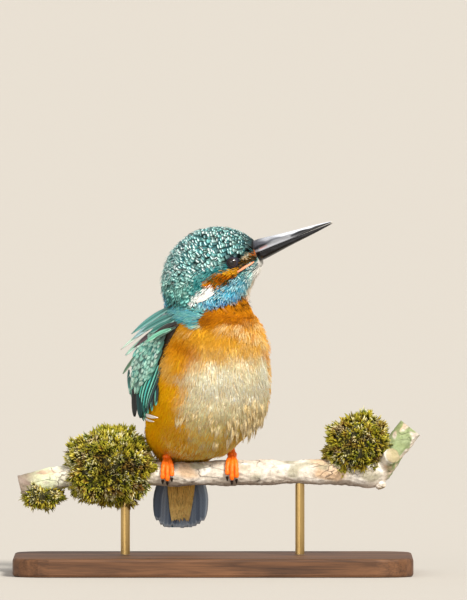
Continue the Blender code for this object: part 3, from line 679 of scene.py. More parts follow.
def face_colours(p):
    """Blue cheek stripe, white throat, rust ear stripe, white ear tuft and the marks of the lore."""
    front = ease(p.u, 7.9, 8.3)
    upper = ease(p.b + 0.9 * p.a, -8.5, -1.0)
    drift = ease(waves(np.stack((p.a, p.b), axis=-1), 3.0, 21) + p.jitter, 0.0, 0.9)
    blue = mix(p.tones((84, 186, 214), (36, 136, 174), (190, 236, 244), (120, 206, 224)),
               p.tones((160, 218, 212), (54, 136, 142), (232, 244, 238), (34, 100, 112)), upper)
    blue = mix(blue, (24, 116, 150), drift * 0.6 * (1 - upper))
    blue = mix(blue, p.tones((64, 110, 180), (60, 140, 180), (90, 136, 196)), p.stroke(MALAR_EDGE, 0.9) * 0.8)
    p.cover(p.stroke(MALAR, 0.5) * front, blue, (214, 242, 246), 0.5, SHORT)
    throat = front * ease(-p.fold, -0.20, -0.08) * ease(p.b, -17.0, -15.0)
    p.cover(throat, p.tones((244, 236, 220), (232, 214, 190)), (255, 250, 240), 0.0, SHORT)
    p.cover_strokes(front, UNDER_EAR)
    rust = mix(p.tones((206, 126, 14), (186, 100, 8), (220, 150, 36), (110, 90, 36)),
               p.tones((176, 90, 4), (140, 70, 6), (90, 76, 30)), p.stroke(EAR_DEEP, 0.8))
    rust = mix(rust, p.tones((240, 178, 40), (232, 160, 26)), p.stroke(EAR_FRONT, 0.8))
    p.cover(p.stroke(EAR_STRIPE, 0.5) * front, rust, (246, 206, 120), 0.0, SHORT)
    ink = ease(p.stroke(EAR_INK, 0.6) + p.jitter, 0.5, 0.8) * front
    p.cover(ink, (34, 34, 26), (60, 50, 30), 0.0, SHORT)
    p.cover_strokes(front, OVER_EAR)


def plumage(u, v):
    """Ground colour, tip colour and strength, and kind of feather at (u, v)."""
    p = Plumage(u, v)
    crown_colours(p)
    back_colours(p)
    belly_colours(p, breast_colours(p))
    neck_colours(p)
    face_colours(p)
    return np.clip(p.ground, 0, 1), np.clip(p.tip, 0, 1), np.clip(p.strength, 0, 1), p.kind


# ---- materials --------------------------------------------------------------------------
def wire(tree, value, socket):
    """Links a socket's value where it is one, and sets it otherwise."""
    if isinstance(value, bpy.types.NodeSocket):
        tree.links.new(value, socket)
    else:
        socket.default_value = value


def node(tree, kind, settings=None, **inputs):
    """Adds a node; inputs named by socket, or i0, i1 ... by number, take a value or a link."""
    made = tree.nodes.new("ShaderNode" + kind)
    for key, value in (settings or {}).items():
        setattr(made, key, value)
    for key, value in inputs.items():
        numbered = key[0] == "i" and key[1:].isdigit()
        wire(tree, value, made.inputs[int(key[1:]) if numbered else key])
    return made


def sums(tree, operation, first, second=0.0, third=0.0):
    """The operation on up to three numbers or links."""
    return node(tree, "Math", {"operation": operation}, i0=first, i1=second, i2=third).outputs[0]


def ramp(tree, value, low, high):
    """Smooth step of a value from low to high; low above high turns it round."""
    first, last = (0.0, 1.0) if low < high else (1.0, 0.0)
    return node(tree, "MapRange", {"interpolation_type": "SMOOTHSTEP"}, i0=value,
                i1=min(low, high), i2=max(low, high), i3=first, i4=last).outputs[0]


def blend(tree, share, first, second, kind="MIX"):
    """A share of the way between two colours, or one multiplied into the other."""
    made = node(tree, "Mix", {"data_type": "RGBA", "blend_type": kind})
    wire(tree, share, made.inputs[0])
    for number, colour in ((6, first), (7, second)):
        wire(tree, (*light(colour), 1.0) if isinstance(colour, tuple) else colour, made.inputs[number])
    return made.outputs[2]


def shaded(tree, colour, shade):
    """A colour multiplied by one number."""
    grey = node(tree, "CombineColor", None, i0=shade, i1=shade, i2=shade)
    return blend(tree, 1.0, colour, grey.outputs[0], "MULTIPLY")


def painted(tree, name, output="Color"):
    """What is painted on the points under that name."""
    return node(tree, "Attribute", {"attribute_name": name}).outputs[output]


def object_place(tree, stretch=None):
    """Object coordinates, stretched along the grain where there is one."""
    place = node(tree, "TexCoord").outputs["Object"]
    return node(tree, "Mapping", None, Vector=place, Scale=stretch).outputs[0] if stretch else place


def grain(tree, scale, detail, stretch=None, **sockets):
    """Noise in object coordinates, stretched where there is a stretch."""
    place = object_place(tree, stretch)
    return node(tree, "TexNoise", None, Vector=place, Scale=scale, Detail=detail, **sockets).outputs[0]


def bump(tree, shader, height, strength, distance):
    """Tilts the normal by the slope of the height; distance is in millimetres."""
    made = node(tree, "Bump", None, Height=height, Strength=strength, Distance=distance * MM)
    tree.links.new(made.outputs[0], shader.inputs["Normal"])


def finish(name, roughness, **sockets):
    """A material with its shader's sockets set; names use _ for a space."""
    material = bpy.data.materials.new(name)
    material.use_nodes = True
    shader = material.node_tree.nodes["Principled BSDF"]
    shader.inputs["Roughness"].default_value = roughness
    for key, value in sockets.items():
        shader.inputs[key.replace("_", " ")].default_value = value
    return material, material.node_tree, shader


def tinted(name, roughness, **sockets):
    """A material in the tint painted on the points."""
    material, tree, shader = finish(name, roughness, **sockets)
    wire(tree, painted(tree, "tint"), shader.inputs["Base Color"])
    return material, tree, shader


def grained(name, roughness, dark, pale, scale, detail, stretch=None, **sockets):
    """A material that wavers between two colours with a grain; the grain is returned too."""
    material, tree, shader = finish(name, roughness, **sockets)
    speck = grain(tree, scale, detail, stretch)
    wire(tree, blend(tree, speck, dark, pale), shader.inputs["Base Color"])
    return material, tree, shader, speck


BARB_COUNT, BARB_SLANT = 95.0, -22.0


def feather_finish(name, bar=None, edge=None, roughness=0.42, sheen=0.15, shaft=0.0):
    """The tint, under the mark's colour on a bar by the tip or on one web's edge; barbs and shaft.

    bar is its start, end and half width, edge the places across the vane where it begins and is full.
    Barbs are a sine of the place down the vane less a share of the distance from the shaft.
    """
    material, tree, shader = finish(name, roughness, Specular_IOR_Level=0.35, Sheen_Weight=sheen,
                                    Sheen_Roughness=0.4)
    place = node(tree, "UVMap", {"uv_map": "vane"})
    across, down = node(tree, "SeparateXYZ", None, i0=place.outputs[0]).outputs[:2]
    off = sums(tree, "ABSOLUTE", sums(tree, "MULTIPLY_ADD", across, 2.0, -1.0))
    curved = sums(tree, "MULTIPLY_ADD", sums(tree, "MULTIPLY", off, off), 0.05, down)
    share = painted(tree, "mark", "Alpha")
    if bar:
        low, high, half = bar
        band = sums(tree, "MULTIPLY", ramp(tree, curved, low - 0.03, low + 0.03),
                    ramp(tree, curved, high + 0.03, high - 0.03))
        band = sums(tree, "MULTIPLY", band, ramp(tree, off, half + 0.1, half - 0.1))
        share = sums(tree, "MULTIPLY", share, band)
    if edge:
        rim = sums(tree, "MAXIMUM", ramp(tree, across, *edge), ramp(tree, curved, 0.93, 0.99))
        share = sums(tree, "MULTIPLY", share, rim)
    slant = sums(tree, "MULTIPLY", off, BARB_SLANT)
    barb = sums(tree, "SINE", sums(tree, "MULTIPLY_ADD", down, BARB_COUNT, slant))
    shade = sums(tree, "MULTIPLY_ADD", barb, 0.10, 0.95)
    if shaft:
        line = sums(tree, "MULTIPLY", ramp(tree, off, 0.16, 0.04), shaft)
        shade = sums(tree, "SUBTRACT", shade, line)
    colour = blend(tree, share, painted(tree, "tint"), painted(tree, "mark"))
    wire(tree, shaded(tree, colour, shade), shader.inputs["Base Color"])
    bump(tree, shader, barb, 0.25, 0.05)
    return material


# ---- skin -------------------------------------------------------------------------------
# SKIN_SHADE is painted shade: the share of the coat's colours that the skin under the feathers keeps
SKIN_ROWS, SKIN_COLUMNS, SKIN_SHADE = 150, 128, 0.55
LID_TONE, FOOT_TONE = (44, 42, 54), (248, 114, 22)
COAT_GLOSS, BARE_GLOSS = 0.85, 0.42
FLESH_NODES = ("trunk", "neck", "head", "leg_right", "leg_left")


def skin_finish():
    """The tint with fine pores; its fourth value is the roughness, lower on lids and feet."""
    material, tree, shader = tinted("skin", 0.85, Specular_IOR_Level=0.3)
    pores = node(tree, "TexVoronoi", None, Vector=object_place(tree), Scale=1600.0)
    wire(tree, painted(tree, "tint", "Alpha"), shader.inputs["Roughness"])
    bump(tree, shader, pores.outputs[0], 0.35, 0.12)
    return material


def make_skin():
    """One skin: the body surface drawn in by the depth of the coat, with lids, shanks and toes; over the body
    it takes the coat's colours darkened as painted shade of the feathers above it.
    """
    u = np.linspace(0.0, LAST, SKIN_ROWS)[:, None] + np.zeros(SKIN_COLUMNS)
    v = -np.arange(SKIN_COLUMNS) * TURN / SKIN_COLUMNS + np.zeros((SKIN_ROWS, 1))
    ground = plumage(u, v)[0] * SKIN_SHADE
    shells = [loft(skin_points(u, v))]
    tints = [np.concatenate((ground.reshape(-1, 3), ground[[0, -1]].mean(axis=1)))]
    maps = [np.concatenate((unwrap(u, v).reshape(-1, 2), ((0.5, 0.065), (0.5, 0.93))))]
    bare = [(lid_shell(sign), LID_TONE) for sign in (1, -1)]
    bare += [(shell, FOOT_TONE) for side in FEET_X for shell in foot_shells(side)]
    for number, ((points, faces), tone) in enumerate(bare):
        share = np.arange(len(points)) / len(points)
        across = 0.01 + 0.98 * (number + 0.9 * (share * 60.0 % 1.0)) / len(bare)
        shells.append((points, faces))
        tints.append(paint(*tone) * np.exp(0.16 * waves(points, 1.1, 23))[:, None])
        maps.append(np.stack((across, 0.01 + 0.04 * share), axis=1))
    points, faces = merged(shells)
    gloss = np.where(np.arange(len(points)) < len(tints[0]), COAT_GLOSS, BARE_GLOSS)
    put("skin", points, faces, skin_finish(), FLESH_NODES,
        tints={"tint": with_strength(np.concatenate(tints), gloss)}, maps={"OFBake": np.concatenate(maps)})


# ---- coat -------------------------------------------------------------------------------
# places along a feather, and its widths (and shades) there; the shades are painted shade, darkest at the root
# where the feathers cover one another and lighter towards the open end
CROWN_SHARES = np.array((0.0, 0.3, 0.62, 0.85, 1.0))
CROWN_WIDTHS = np.array((0.45, 0.85, 1.0, 1.0, 0.66))
CROWN_SHADES = np.array((0.4, 0.46, 0.62, 0.84, 0.7))[:, None]
MANTLE_SHARES = np.array((0.0, 0.25, 0.5, 0.72, 0.87, 0.96, 1.0))
MANTLE_WIDTHS = np.array((0.4, 0.8, 1.0, 1.0, 0.84, 0.56, 0.25))
MANTLE_SHADES = np.interp(MANTLE_SHARES, (0.0, 0.6, 1.0), (0.5, 0.85, 1.15))[:, None]
HAIR_SHARES = np.array((0.0, 0.35, 0.7, 1.0))
HAIR_WIDTHS = np.array((0.7, 1.0, 0.75, 0.15))
HAIR_SHADES = np.array((0.45, 0.8, 1.02, 1.1))
BREAST_SHARES = np.array((0.0, 0.5, 1.0))
SEEN_SHARES = np.array((0.0, 0.36, 0.72, 1.0))      # the third is where a feather's colour shows
EYE_CLEARANCE = np.array((2.3, 2.5, 2.5, 2.5))
HAIR_THICKNESS = 0.3          # in shares of a strand's half width
TUFT_ROOT, TUFT_WAY, TUFT_LENGTH, TUFT_HALF_WIDTH = (-7.8, -12.0), (-9.4, -6.4), 9.6, 1.5
TUFT_FEATHERS = 90
# painted shade, darker towards the root
TUFT_SHADES = np.array((0.8, 0.95, 1.0, 1.0))[:, None]
LOCKS, LOCK_STRANDS = 210, 14
LOCK_SPREAD = np.array((0.9, 0.85, 0.5, 0.12))
# painted shade over the whole lock, darkest at the root
LOCK_SHADES = np.array((0.75, 0.8, 0.86, 0.9))[:, None]


def only(kept, *values):
    """Each of the values where kept is true."""
    return [x[kept] for x in values]


def varied(random, spread, *shape):
    """Factors about 1, spread evenly up and down."""
    return np.exp(random.normal(0, spread, shape))


def lay(u, v, length, turn, shares, lift):
    """Axis and normals of feathers from roots at (u, v); lift is their height over the coat's surface."""
    us, vs = walk(u, v, length, turn, shares)
    normals = body_normals(us, vs)
    return body_points(us, vs) + normals * (lift - pressed(us, vs))[..., None], normals


def lay_scales(u, v, length, turn, shares, stand):
    """Broad feathers that rise from the coat's foot to its surface, and stand off it by the tip."""
    foot = -coat_depth(u)[:, None] * (1 - shares ** 0.8) * 0.95
    return lay(u, v, length, turn, shares, foot + stand[:, None] * shares ** 2)


def shown(u, v, length):
    """Plumage where feathers rooted at (u, v) show, that place, if they clear the eye, and their ends."""
    us, vs = walk(u, v, length, 0.0, SEEN_SHARES)
    clear = (np.hypot(*side_chart(us, vs)) > EYE_CLEARANCE).all(axis=1)
    return plumage(us[:, 2], vs[:, 2]), (us[:, 2], vs[:, 2]), clear, (us[:, 3], vs[:, 3])


def make_crown(material):
    """Scale-like feathers with a thin pale bar, rows across the head, raised and longer down the nape."""
    random = np.random.default_rng(41)
    u, v = root_rows((6.9, 15.95), WHOLE_TURN, 1.45, 1.7, 40)
    nape, brow = ease(-u, -11.5, -8.5), ease(u, 13.0, 15.5)
    length = (4.0 + 3.0 * nape - 1.6 * brow) * random.uniform(0.85, 1.15, len(u))
    (ground, tip, strength, kind), seen, clear, end = shown(u, v, length)
    vaned_end = plumage(*end)[3] < np.where(end[0] < 9.0, 1.2, 0.8)
    kept = (kind < 0.5) & clear & (seen[0] > 6.4) & vaned_end
    u, v, ground, tip, strength, nape, brow, length = only(
        kept, u, v, ground, tip, strength, nape, brow, length)
    count = len(u)
    half = (1.16 - 0.16 * nape - 0.46 * brow) * random.uniform(0.75, 1.12, count)
    # painted shade in furrows of the crown: the ground is darkened there and the bars are dimmed
    shaded_furrow = ease(waves(np.stack((u * 2.6, v * 3.4), axis=-1), 1.6, 45), 0.35, 1.0)
    strength = strength * np.where(random.random(count) < 0.75, 1.0, 0.35) * (1 - 0.6 * shaded_furrow)
    ruffle = 0.35 * random.random(count) ** 2 + nape * random.random(count) ** 2
    lie = lay_scales(u, v, length, random.normal(0, 0.13, count), CROWN_SHARES, ruffle - 0.20)
    tint = (ground * (1 - 0.65 * shaded_furrow)[:, None])[:, None] * varied(random, 0.12, count, 1, 1) * CROWN_SHADES
    tip = tip * varied(random, 0.1, count, 1)
    mark = with_strength(tip, strength * random.uniform(0.8, 1.0, count))
    coat("crown_feathers", material, lie, half[:, None] * CROWN_WIDTHS, 0.11, VANE,
         CROWN_SHARES, tint, unwrap(u, v), mark)


def make_hairs(name, material, u, v, strands, length, half, lift, spread, seed, tone, tip, tips,
               shares=HAIR_SHARES, glow=0.0, lean=0.0):
    """Loose feather ends: each root bears a few thin strands, fanned by spread, as one tuft.

    Tips take the tip colour by the share tips.  glow lightens the shade at the roots, lean turns the
    strands towards the bird's back.
    """
    random = np.random.default_rng(seed)
    count = len(u) * strands
    fan = np.tile(np.linspace(-1, 1, strands), len(u))
    places = np.repeat(unwrap(u, v), strands, axis=0)
    u, v, length, half, lift, spread, tone, tip, tips = (
        np.repeat(np.broadcast_to(x, (len(u), *np.shape(x)[1:])), strands, axis=0)
        for x in (u, v, length, half, lift, spread, tone, tip, tips))
    v = v + (fan * 0.4 + random.normal(0, 0.25, count)) / np.maximum(body_stretch(u, v)[1], 3.0)
    turn = spread * fan * random.uniform(0.5, 1.3, count) + random.normal(0, 0.09, count)
    turn = turn + 0.14 * waves(body_points(u, v), 11.0, seed + 1)
    turn = turn + lean * np.sign(np.sin(v)) * hump(np.abs(v), 1.1, 0.7)
    length = length * random.uniform(0.7, 1.12, count)
    height = -coat_depth(u)[:, None] * (1 - shares ** 0.7) * 0.92
    height = height + (lift + random.normal(0, 0.18, count))[:, None] * shares ** 1.5
    axis, normals = lay(u, v, length, turn, shares, height)
    shades = np.interp(shares, HAIR_SHARES, HAIR_SHADES)
    shades = shades + glow * (1.0 - shades) * (shades < 1)
    tint = tone[:, None] * varied(random, 0.1, count, 1, 1) * shades[:, None]
    tint[:, -1] = mix(tint[:, -1], tip, tips)
    tint[:, -2] = mix(tint[:, -2], tip, tips * 0.4)
    order = np.argsort(np.round(-u, 2), kind="stable")
    axis, normals, half, tint, places = only(order, axis, normals, half, tint, places)
    coat(name, material, (axis, normals), half[:, None] * np.interp(shares, HAIR_SHARES, HAIR_WIDTHS),
         half[:, None] * HAIR_THICKNESS, HAIR, shares, tint, places)


def make_nape(material):
    """Thin loose ends over the crown's feathers at the back of the head, standing off the outline."""
    random = np.random.default_rng(46)
    u, v = root_rows((8.0, 13.6), WHOLE_TURN, 1.7, 1.5, 47)
    length = random.uniform(3.2, 5.4, len(u))
    (ground, tip, _, kind), _, clear, end = shown(u, v, length)
    back = ease(-u, -12.6, -10.6)
    wanted = random.random(len(u)) < 0.25 + 0.75 * back
    kept = (kind < 0.5) & clear & (plumage(*end)[3] < 0.5) & wanted
    u, v, ground, tip, length, back = only(kept, u, v, ground, tip, length, back)
    count = len(u)
    pale = random.random((count, 1)) < 0.45
    tone = np.where(pale, mix(ground, tip, 0.75), ground * random.uniform(0.25, 0.9, (count, 1)))
    lift = 0.15 + 0.35 * random.random(count) + 0.7 * back * random.random(count) ** 2
    make_hairs("nape_feathers", material, u, v, 3, length, 0.15, lift, 0.12, 48, tone, tip,
               0.6 * random.random(count))


def make_face(material):
    """Short, dense feathers of cheek, ear, neck side and throat."""
    random = np.random.default_rng(51)
    u, v = root_rows((6.4, 15.95), WHOLE_TURN, 0.85, 0.8, 50)
    a, b = side_chart(u, v)
    away = ease(np.hypot(a - 3.0, b), 3.0, 15.0)
    patch = stroke(a, b, WHITE_PATCH, 1.2)
    length = 1.5 + 2.6 * away + 2.2 * stroke(a, b, CHIN, 1.0) + 1.6 * patch
    (ground, tip, strength, kind), _, clear, _ = shown(u, v, length)
    kept = (kind >= 0.5) & (kind < 1.5) & clear
    u, v, ground, tip, strength, away, length, patch = only(
        kept, u, v, ground, tip, strength, away, length, patch)
    half = 0.16 + 0.06 * away + 0.06 * patch
    lift = -0.1 + 0.3 * away + 0.3 * random.random(len(u))
    tips = strength * (random.random(len(u)) < 0.4)
    make_hairs("face_feathers", material, u, v, 3, length, half, lift, 0.16, 52, ground, tip,
               tips, glow=0.25, lean=0.5)


def make_ear_tufts(material):
    """Long smooth white feathers behind each ear stripe, drawn in to one point like half an ellipse."""
    random = np.random.default_rng(53)
    share = random.uniform(0.0, 0.5, TUFT_FEATHERS)[:, None]
    aside = random.uniform(-1.0, 1.0, TUFT_FEATHERS)[:, None]
    along = share * TUFT_LENGTH + random.uniform(4.0, 5.5, (TUFT_FEATHERS, 1)) * HAIR_SHARES
    width = TUFT_HALF_WIDTH * np.sqrt(np.clip(1 - (along / TUFT_LENGTH) ** 2, 0.02, 1))
    way = unit(np.array(TUFT_WAY))
    a = TUFT_ROOT[0] + way[0] * along - way[1] * aside * width
    b = TUFT_ROOT[1] + way[1] * along + way[0] * aside * width
    u, v = (x.reshape(a.shape) for x in chart_place(a.ravel(), b.ravel()))
    u, v = np.concatenate((u, u)), np.concatenate((v, -v))
    normals = body_normals(u, v)
    axis = body_points(u, v) + normals * (-0.3 + 0.9 * HAIR_SHARES ** 0.5)[:, None]
    count = len(u)
    white = mottled(random.random(count), (246, 248, 248), (236, 232, 226), (248, 246, 240))
    tint = mix(white, (206, 190, 160), 0.3 * random.random(count))[:, None] * TUFT_SHADES
    coat("ear_tufts", material, (axis, normals), 0.34 * HAIR_WIDTHS * np.ones((count, 1)),
         0.09, HAIR, HAIR_SHARES, tint, unwrap(u[:, 0], v[:, 0]))


def make_breast(material):
    """Long, soft feathers of breast, belly, flanks and vent; pale tips on the fold, ragged ends below."""
    random = np.random.default_rng(61)
    u, v = root_rows((-0.7, 12.4), (-2.05, 2.05), 1.3, 1.25, 60)
    lump = waves(body_points(u, v), 13.0, 62)
    length = (7.6 + 1.0 * lump * ease(-u, -7.6, -6.2) - 2.2 * ease(u, 6.2, 7.4)
              - 3.2 * ease(u, 9.0, 10.4) - 1.6 * ease(-u, -1.2, 0.2))
    (ground, tip, _, kind), (seen_u, seen_v), _, _ = shown(u, v, length)
    u, v, ground, tip, lump, length, seen_u, seen_v = only(
        kind >= 1.5, u, v, ground, tip, lump, length, seen_u, seen_v)
    count = len(u)
    frill = fold_share(seen_u, seen_v)
    half = 0.20 + 0.05 * random.random(count)
    over_wing = hump(v, 1.5, 0.28) * (hump(u, 5.0, 1.2) + hump(u, 1.7, 0.8))
    lift = (-0.45 + 0.35 * hump(u, 8.6, 0.6) - 0.35 * ease(u, 9.4, 10.0) - 0.3 * hump(seen_u, 7.4, 0.5)
            + 0.4 * lump * ease(-u, -8.0, -6.6) + 1.2 * frill + 2.6 * over_wing)
    wisps = random.random(count) < 0.22
    lift = lift + 1.3 * wisps * hump(v, -1.25, 0.5) * ease(u, 2.0, 3.2) * ease(-u, -8.4, -7.6)
    scaly = (random.random(count) < 0.4) * ease(u, 5.4, 6.4) * ease(-seen_v, -0.1, 0.5)
    scaly = scaly * ease(np.cos(seen_v), -0.2, 0.3)
    tips = np.clip(frill * random.random(count) + 0.03 + 0.65 * scaly, 0, 1)
    make_hairs("breast_feathers", material, u, v, 8, length, half, lift,
               0.17 + 0.1 * frill + 0.15 * over_wing, 63, ground, tip, tips, BREAST_SHARES, 0.85)


def make_fringe(material):
    """Pointed locks that hang off the belly's edge on the bird's left, strands drawn in to each tip."""
    random = np.random.default_rng(66)
    v = random.uniform(-1.75, 0.95, LOCKS)
    right = ease(v, -0.6, 0.3)
    u = random.uniform(2.9, 4.0, LOCKS) - 0.45 * right + 0.6 * ease(v, 0.1, 0.9)
    outward = body_normals(u, v)
    root = body_points(u, v) - outward * (1.3 + pressed(u, v))[:, None]
    down = -unit(slopes(body_points, u, v, 0.04)[0])
    way = unit(down - 1.1 * UP * (1.0 - right)[:, None] + 0.10 * random.normal(0, 1, (LOCKS, 3)))
    side = unit(np.cross(way, outward))
    long = random.uniform(6.5, 10.0, LOCKS) * (1 - 0.25 * ease(-v, 1.2, 1.7) - 0.2 * right)
    reach = long[:, None] * random.uniform(0.6, 1.0, (LOCKS, LOCK_STRANDS))
    fan = 1.3 * np.linspace(-1, 1, LOCK_STRANDS)[:, None] * LOCK_SPREAD
    loose = 0.5 * random.random((LOCKS, LOCK_STRANDS))
    axis = (root[:, None, None] + way[:, None, None] * (reach[..., None] * HAIR_SHARES)[..., None]
            + side[:, None, None] * fan[..., None]
            + outward[:, None, None] * (loose[..., None] * HAIR_SHARES)[..., None]).reshape(-1, 4, 3)
    count = len(axis)
    tone = mix(mottled(random.random(count), (236, 196, 116), (214, 168, 76)),
               mottled(random.random(count), (248, 232, 192), (244, 222, 170), (236, 208, 148)),
               np.repeat(ease(v, -1.5, -1.0), LOCK_STRANDS))
    tint = tone[:, None] * LOCK_SHADES * varied(random, 0.08, count, 1, 1)
    lie = axis, np.repeat(outward, LOCK_STRANDS, axis=0)[:, None]
    coat("fringe_feathers", material, lie, 0.17 * HAIR_WIDTHS * np.ones((count, 1)), 0.07,
         HAIR, HAIR_SHARES, tint, np.repeat(unwrap(u, v), LOCK_STRANDS, axis=0))


def make_mantle(material, soft):
    """Rounded feathers of hind neck and back, azure down the middle, with loose ends over them."""
    random = np.random.default_rng(71)
    u, v = root_rows((-0.4, 8.6), (1.55, TURN - 1.55), 2.3, 2.2, 70)
    v = turned(v)
    length = 8.5 * random.uniform(0.8, 1.2, len(u))
    (ground, tip, strength, kind), _, _, _ = shown(u, v, length)
    u, v, ground, tip, strength, length = only((kind < 0.5) & (u < 8.2), u, v, ground, tip, strength, length)
    count = len(u)
    half = 1.9 * random.uniform(0.88, 1.1, count)
    stand = random.random(count) * 0.5 - 0.4
    lie = lay_scales(u, v, length, random.normal(0, 0.12, count), MANTLE_SHARES, stand)
    tint = ground[:, None] * varied(random, 0.10, count, 1, 1) * MANTLE_SHADES
    coat("mantle_feathers", material, lie, half[:, None] * MANTLE_WIDTHS, 0.12, VANE,
         MANTLE_SHARES, tint, unwrap(u, v), with_strength(tip, 0.6 * strength))
    tone = ground * varied(random, 0.25, count, 1)
    lift = -0.15 + 0.45 * random.random(count)
    make_hairs("mantle_ends", soft, u, v, 6, length * 0.95, 0.2, lift, 0.3, 72, tone, tip,
               0.5 * random.random(count), glow=0.5)


# ---- eyes and lids ----------------------------------------------------------------------
EYE_ROWS, EYE_COLUMNS, LID_COLUMNS = 40, 48, 72
LID_OPENING = (2.0, 1.75)     # half length and half height
# the lid's rings: how far out past the opening, and how high over the eyeball
LID_RINGS = ((0.0, -0.35), (0.02, 0.08), (0.16, 0.24), (0.36, 0.16), (0.56, -0.04), (1.0, -0.3),
             (1.7, -0.9), (1.1, -1.6))


def eye_frame(sign):
    """Middle of the eyeball, then forward, up and outward directions of the head there."""
    forward = bill_direction()
    outward = roll_matrix() @ right_vector(HEAD_HEADING) * sign
    return eye_middle(sign), forward, unit(np.cross(outward, forward) * -sign), unit(outward)


def make_eyes():
    """Eyeballs: spheres with a slightly fuller cornea, dark brown iris and black pupil."""
    material = tinted("wet_eye", 0.05, Specular_IOR_Level=0.4, Coat_Weight=0.4, Coat_Roughness=0.02)[0]
    polar = np.linspace(0.03, math.pi - 0.03, EYE_ROWS)[:, None]
    radius = EYE_RADIUS * (1 + 0.035 * hump(polar, 0.0, 0.5)) * np.ones(EYE_COLUMNS)
    for side, sign in (("right", 1), ("left", -1)):
        middle, forward, up, outward = eye_frame(sign)
        turn = np.arange(EYE_COLUMNS) * TURN / EYE_COLUMNS * -sign
        rings = (middle + (radius * np.sin(polar) * np.cos(turn))[..., None] * forward
                 + (radius * np.sin(polar) * np.sin(turn))[..., None] * up
                 + (radius * np.cos(polar))[..., None] * outward)
        points, faces = loft(rings[::-1])
        tilt = np.concatenate((np.repeat(polar[::-1, 0], EYE_COLUMNS), (math.pi, 0.0)))
        iris = mix((10, 7, 7), (48, 32, 26), hump(tilt, 0.62, 0.14))
        put(f"eye_ball_{side}", points, faces, material, (f"eye_{side}",), tints={"tint": iris})


def lid_shell(sign):
    """A closed ring of lid skin: from inside the almond opening, over a fold, down under the coat."""
    middle, forward, up, outward = eye_frame(sign)
    angle = np.arange(LID_COLUMNS) * TURN / LID_COLUMNS * -sign
    x, y = np.cos(angle), np.sin(angle)
    inner = 1.0 / np.hypot(x / LID_OPENING[0], y / LID_OPENING[1])
    ball = EYE_RADIUS * 1.04
    rings = []
    for grow, level in LID_RINGS:
        reach = inner + grow
        seat = np.sqrt(np.maximum(ball ** 2 - reach ** 2, 0.0)) + level
        seat = seat + 0.05 * np.sin(angle * 18.0) * (0.1 < grow < 1.0)
        flat = (reach * x)[:, None] * forward + (reach * y)[:, None] * up
        rings.append(middle + flat + seat[:, None] * outward)
    wrap = grid_faces(len(rings) + 1, LID_COLUMNS)
    return np.concatenate(rings), [wrap % (len(rings) * LID_COLUMNS)]


# ---- bill -------------------------------------------------------------------------------
BILL_ROWS, BILL_COLUMNS = 90, 36
BILL_START = -0.09            # how far the horn runs back under the skin, in shares of its length
BILL_DROOP = 0.014
# painted sheen: a pale band slanting up from the cutting edge to the ridge; forward and up from the eye, half
# width
SLANTED_SHEEN_BAND = ((8.6, 1.4, 0.4), (12.6, 5.0, 0.8), (17.0, 8.0, 1.0), (24.0, 11.0, 0.9))
RED_LINE = ((11.8, 5.7, 0.12), (14.6, 7.0, 0.08))
GAPE_FORWARD = (2.0, 3.8, 5.6, 7.4, 9.2)
GAPE_UP = (-4.3, -3.2, -2.1, -1.0, 0.0)
GAPE_RINGS = 40


def horn_paint(points, along, around, front, upper):
    """Blackish horn with a pale tip. Painted on it: a silvery sheen along the top of the upper half with a
    grey one beneath, mostly on the side towards the camera, and pale highlights along the cutting edges.
    """
    eye = eye_middle(1)
    a, b = points[:, 0] - eye[0], points[:, 2] - eye[2]
    streak = waves(points * np.array((0.25, 1.0, 1.0)), 2.4, 15)
    tone = mix((10, 10, 13), (34, 34, 38), ease(streak, 0.0, 1.4))
    if upper:
        # painted sheen of sky and key light: silvery along the top on the side towards the camera, grey
        # beneath it
        painted_sheen = ease(around + 0.10 * streak - 0.25 * ease(-along, -0.5, -0.1), 0.56, 0.86)
        painted_sheen = painted_sheen * ease(along, -0.02, 0.12)
        grey = ease(around + 0.08 * streak, 0.46, 0.7) * (1 - 0.6 * ease(along, 0.3, 0.6))
        tone = mix(tone, (70, 72, 80), grey)
        tone = mix(tone, (216, 220, 230), painted_sheen * front * (0.55 + 0.45 * ease(along, 0.1, 0.4)))
        # painted sheen: the pale band slanting up to the ridge
        tone = mix(tone, (160, 162, 168), stroke(a, b, SLANTED_SHEEN_BAND, 0.7) * (0.62 + 0.14 * streak) * front)
        # painted highlight along the upper cutting edge near the base
        tone = mix(tone, (168, 170, 180), hump(around, 0.10, 0.09) * ease(-along, -0.6, -0.35) * 0.9)
        tone = mix(tone, (176, 84, 62), stroke(a, b, RED_LINE, 0.35) * 0.9)
    else:
        # painted highlight: a grey line along the lower mandible by its cutting edge
        tone = mix(tone, (70, 72, 80), hump(around, 0.30, 0.12) * ease(along, 0.05, 0.3) * 0.35)
    return mix(tone, (206, 200, 188), ease(along, 0.965, 1.0) * 0.8)


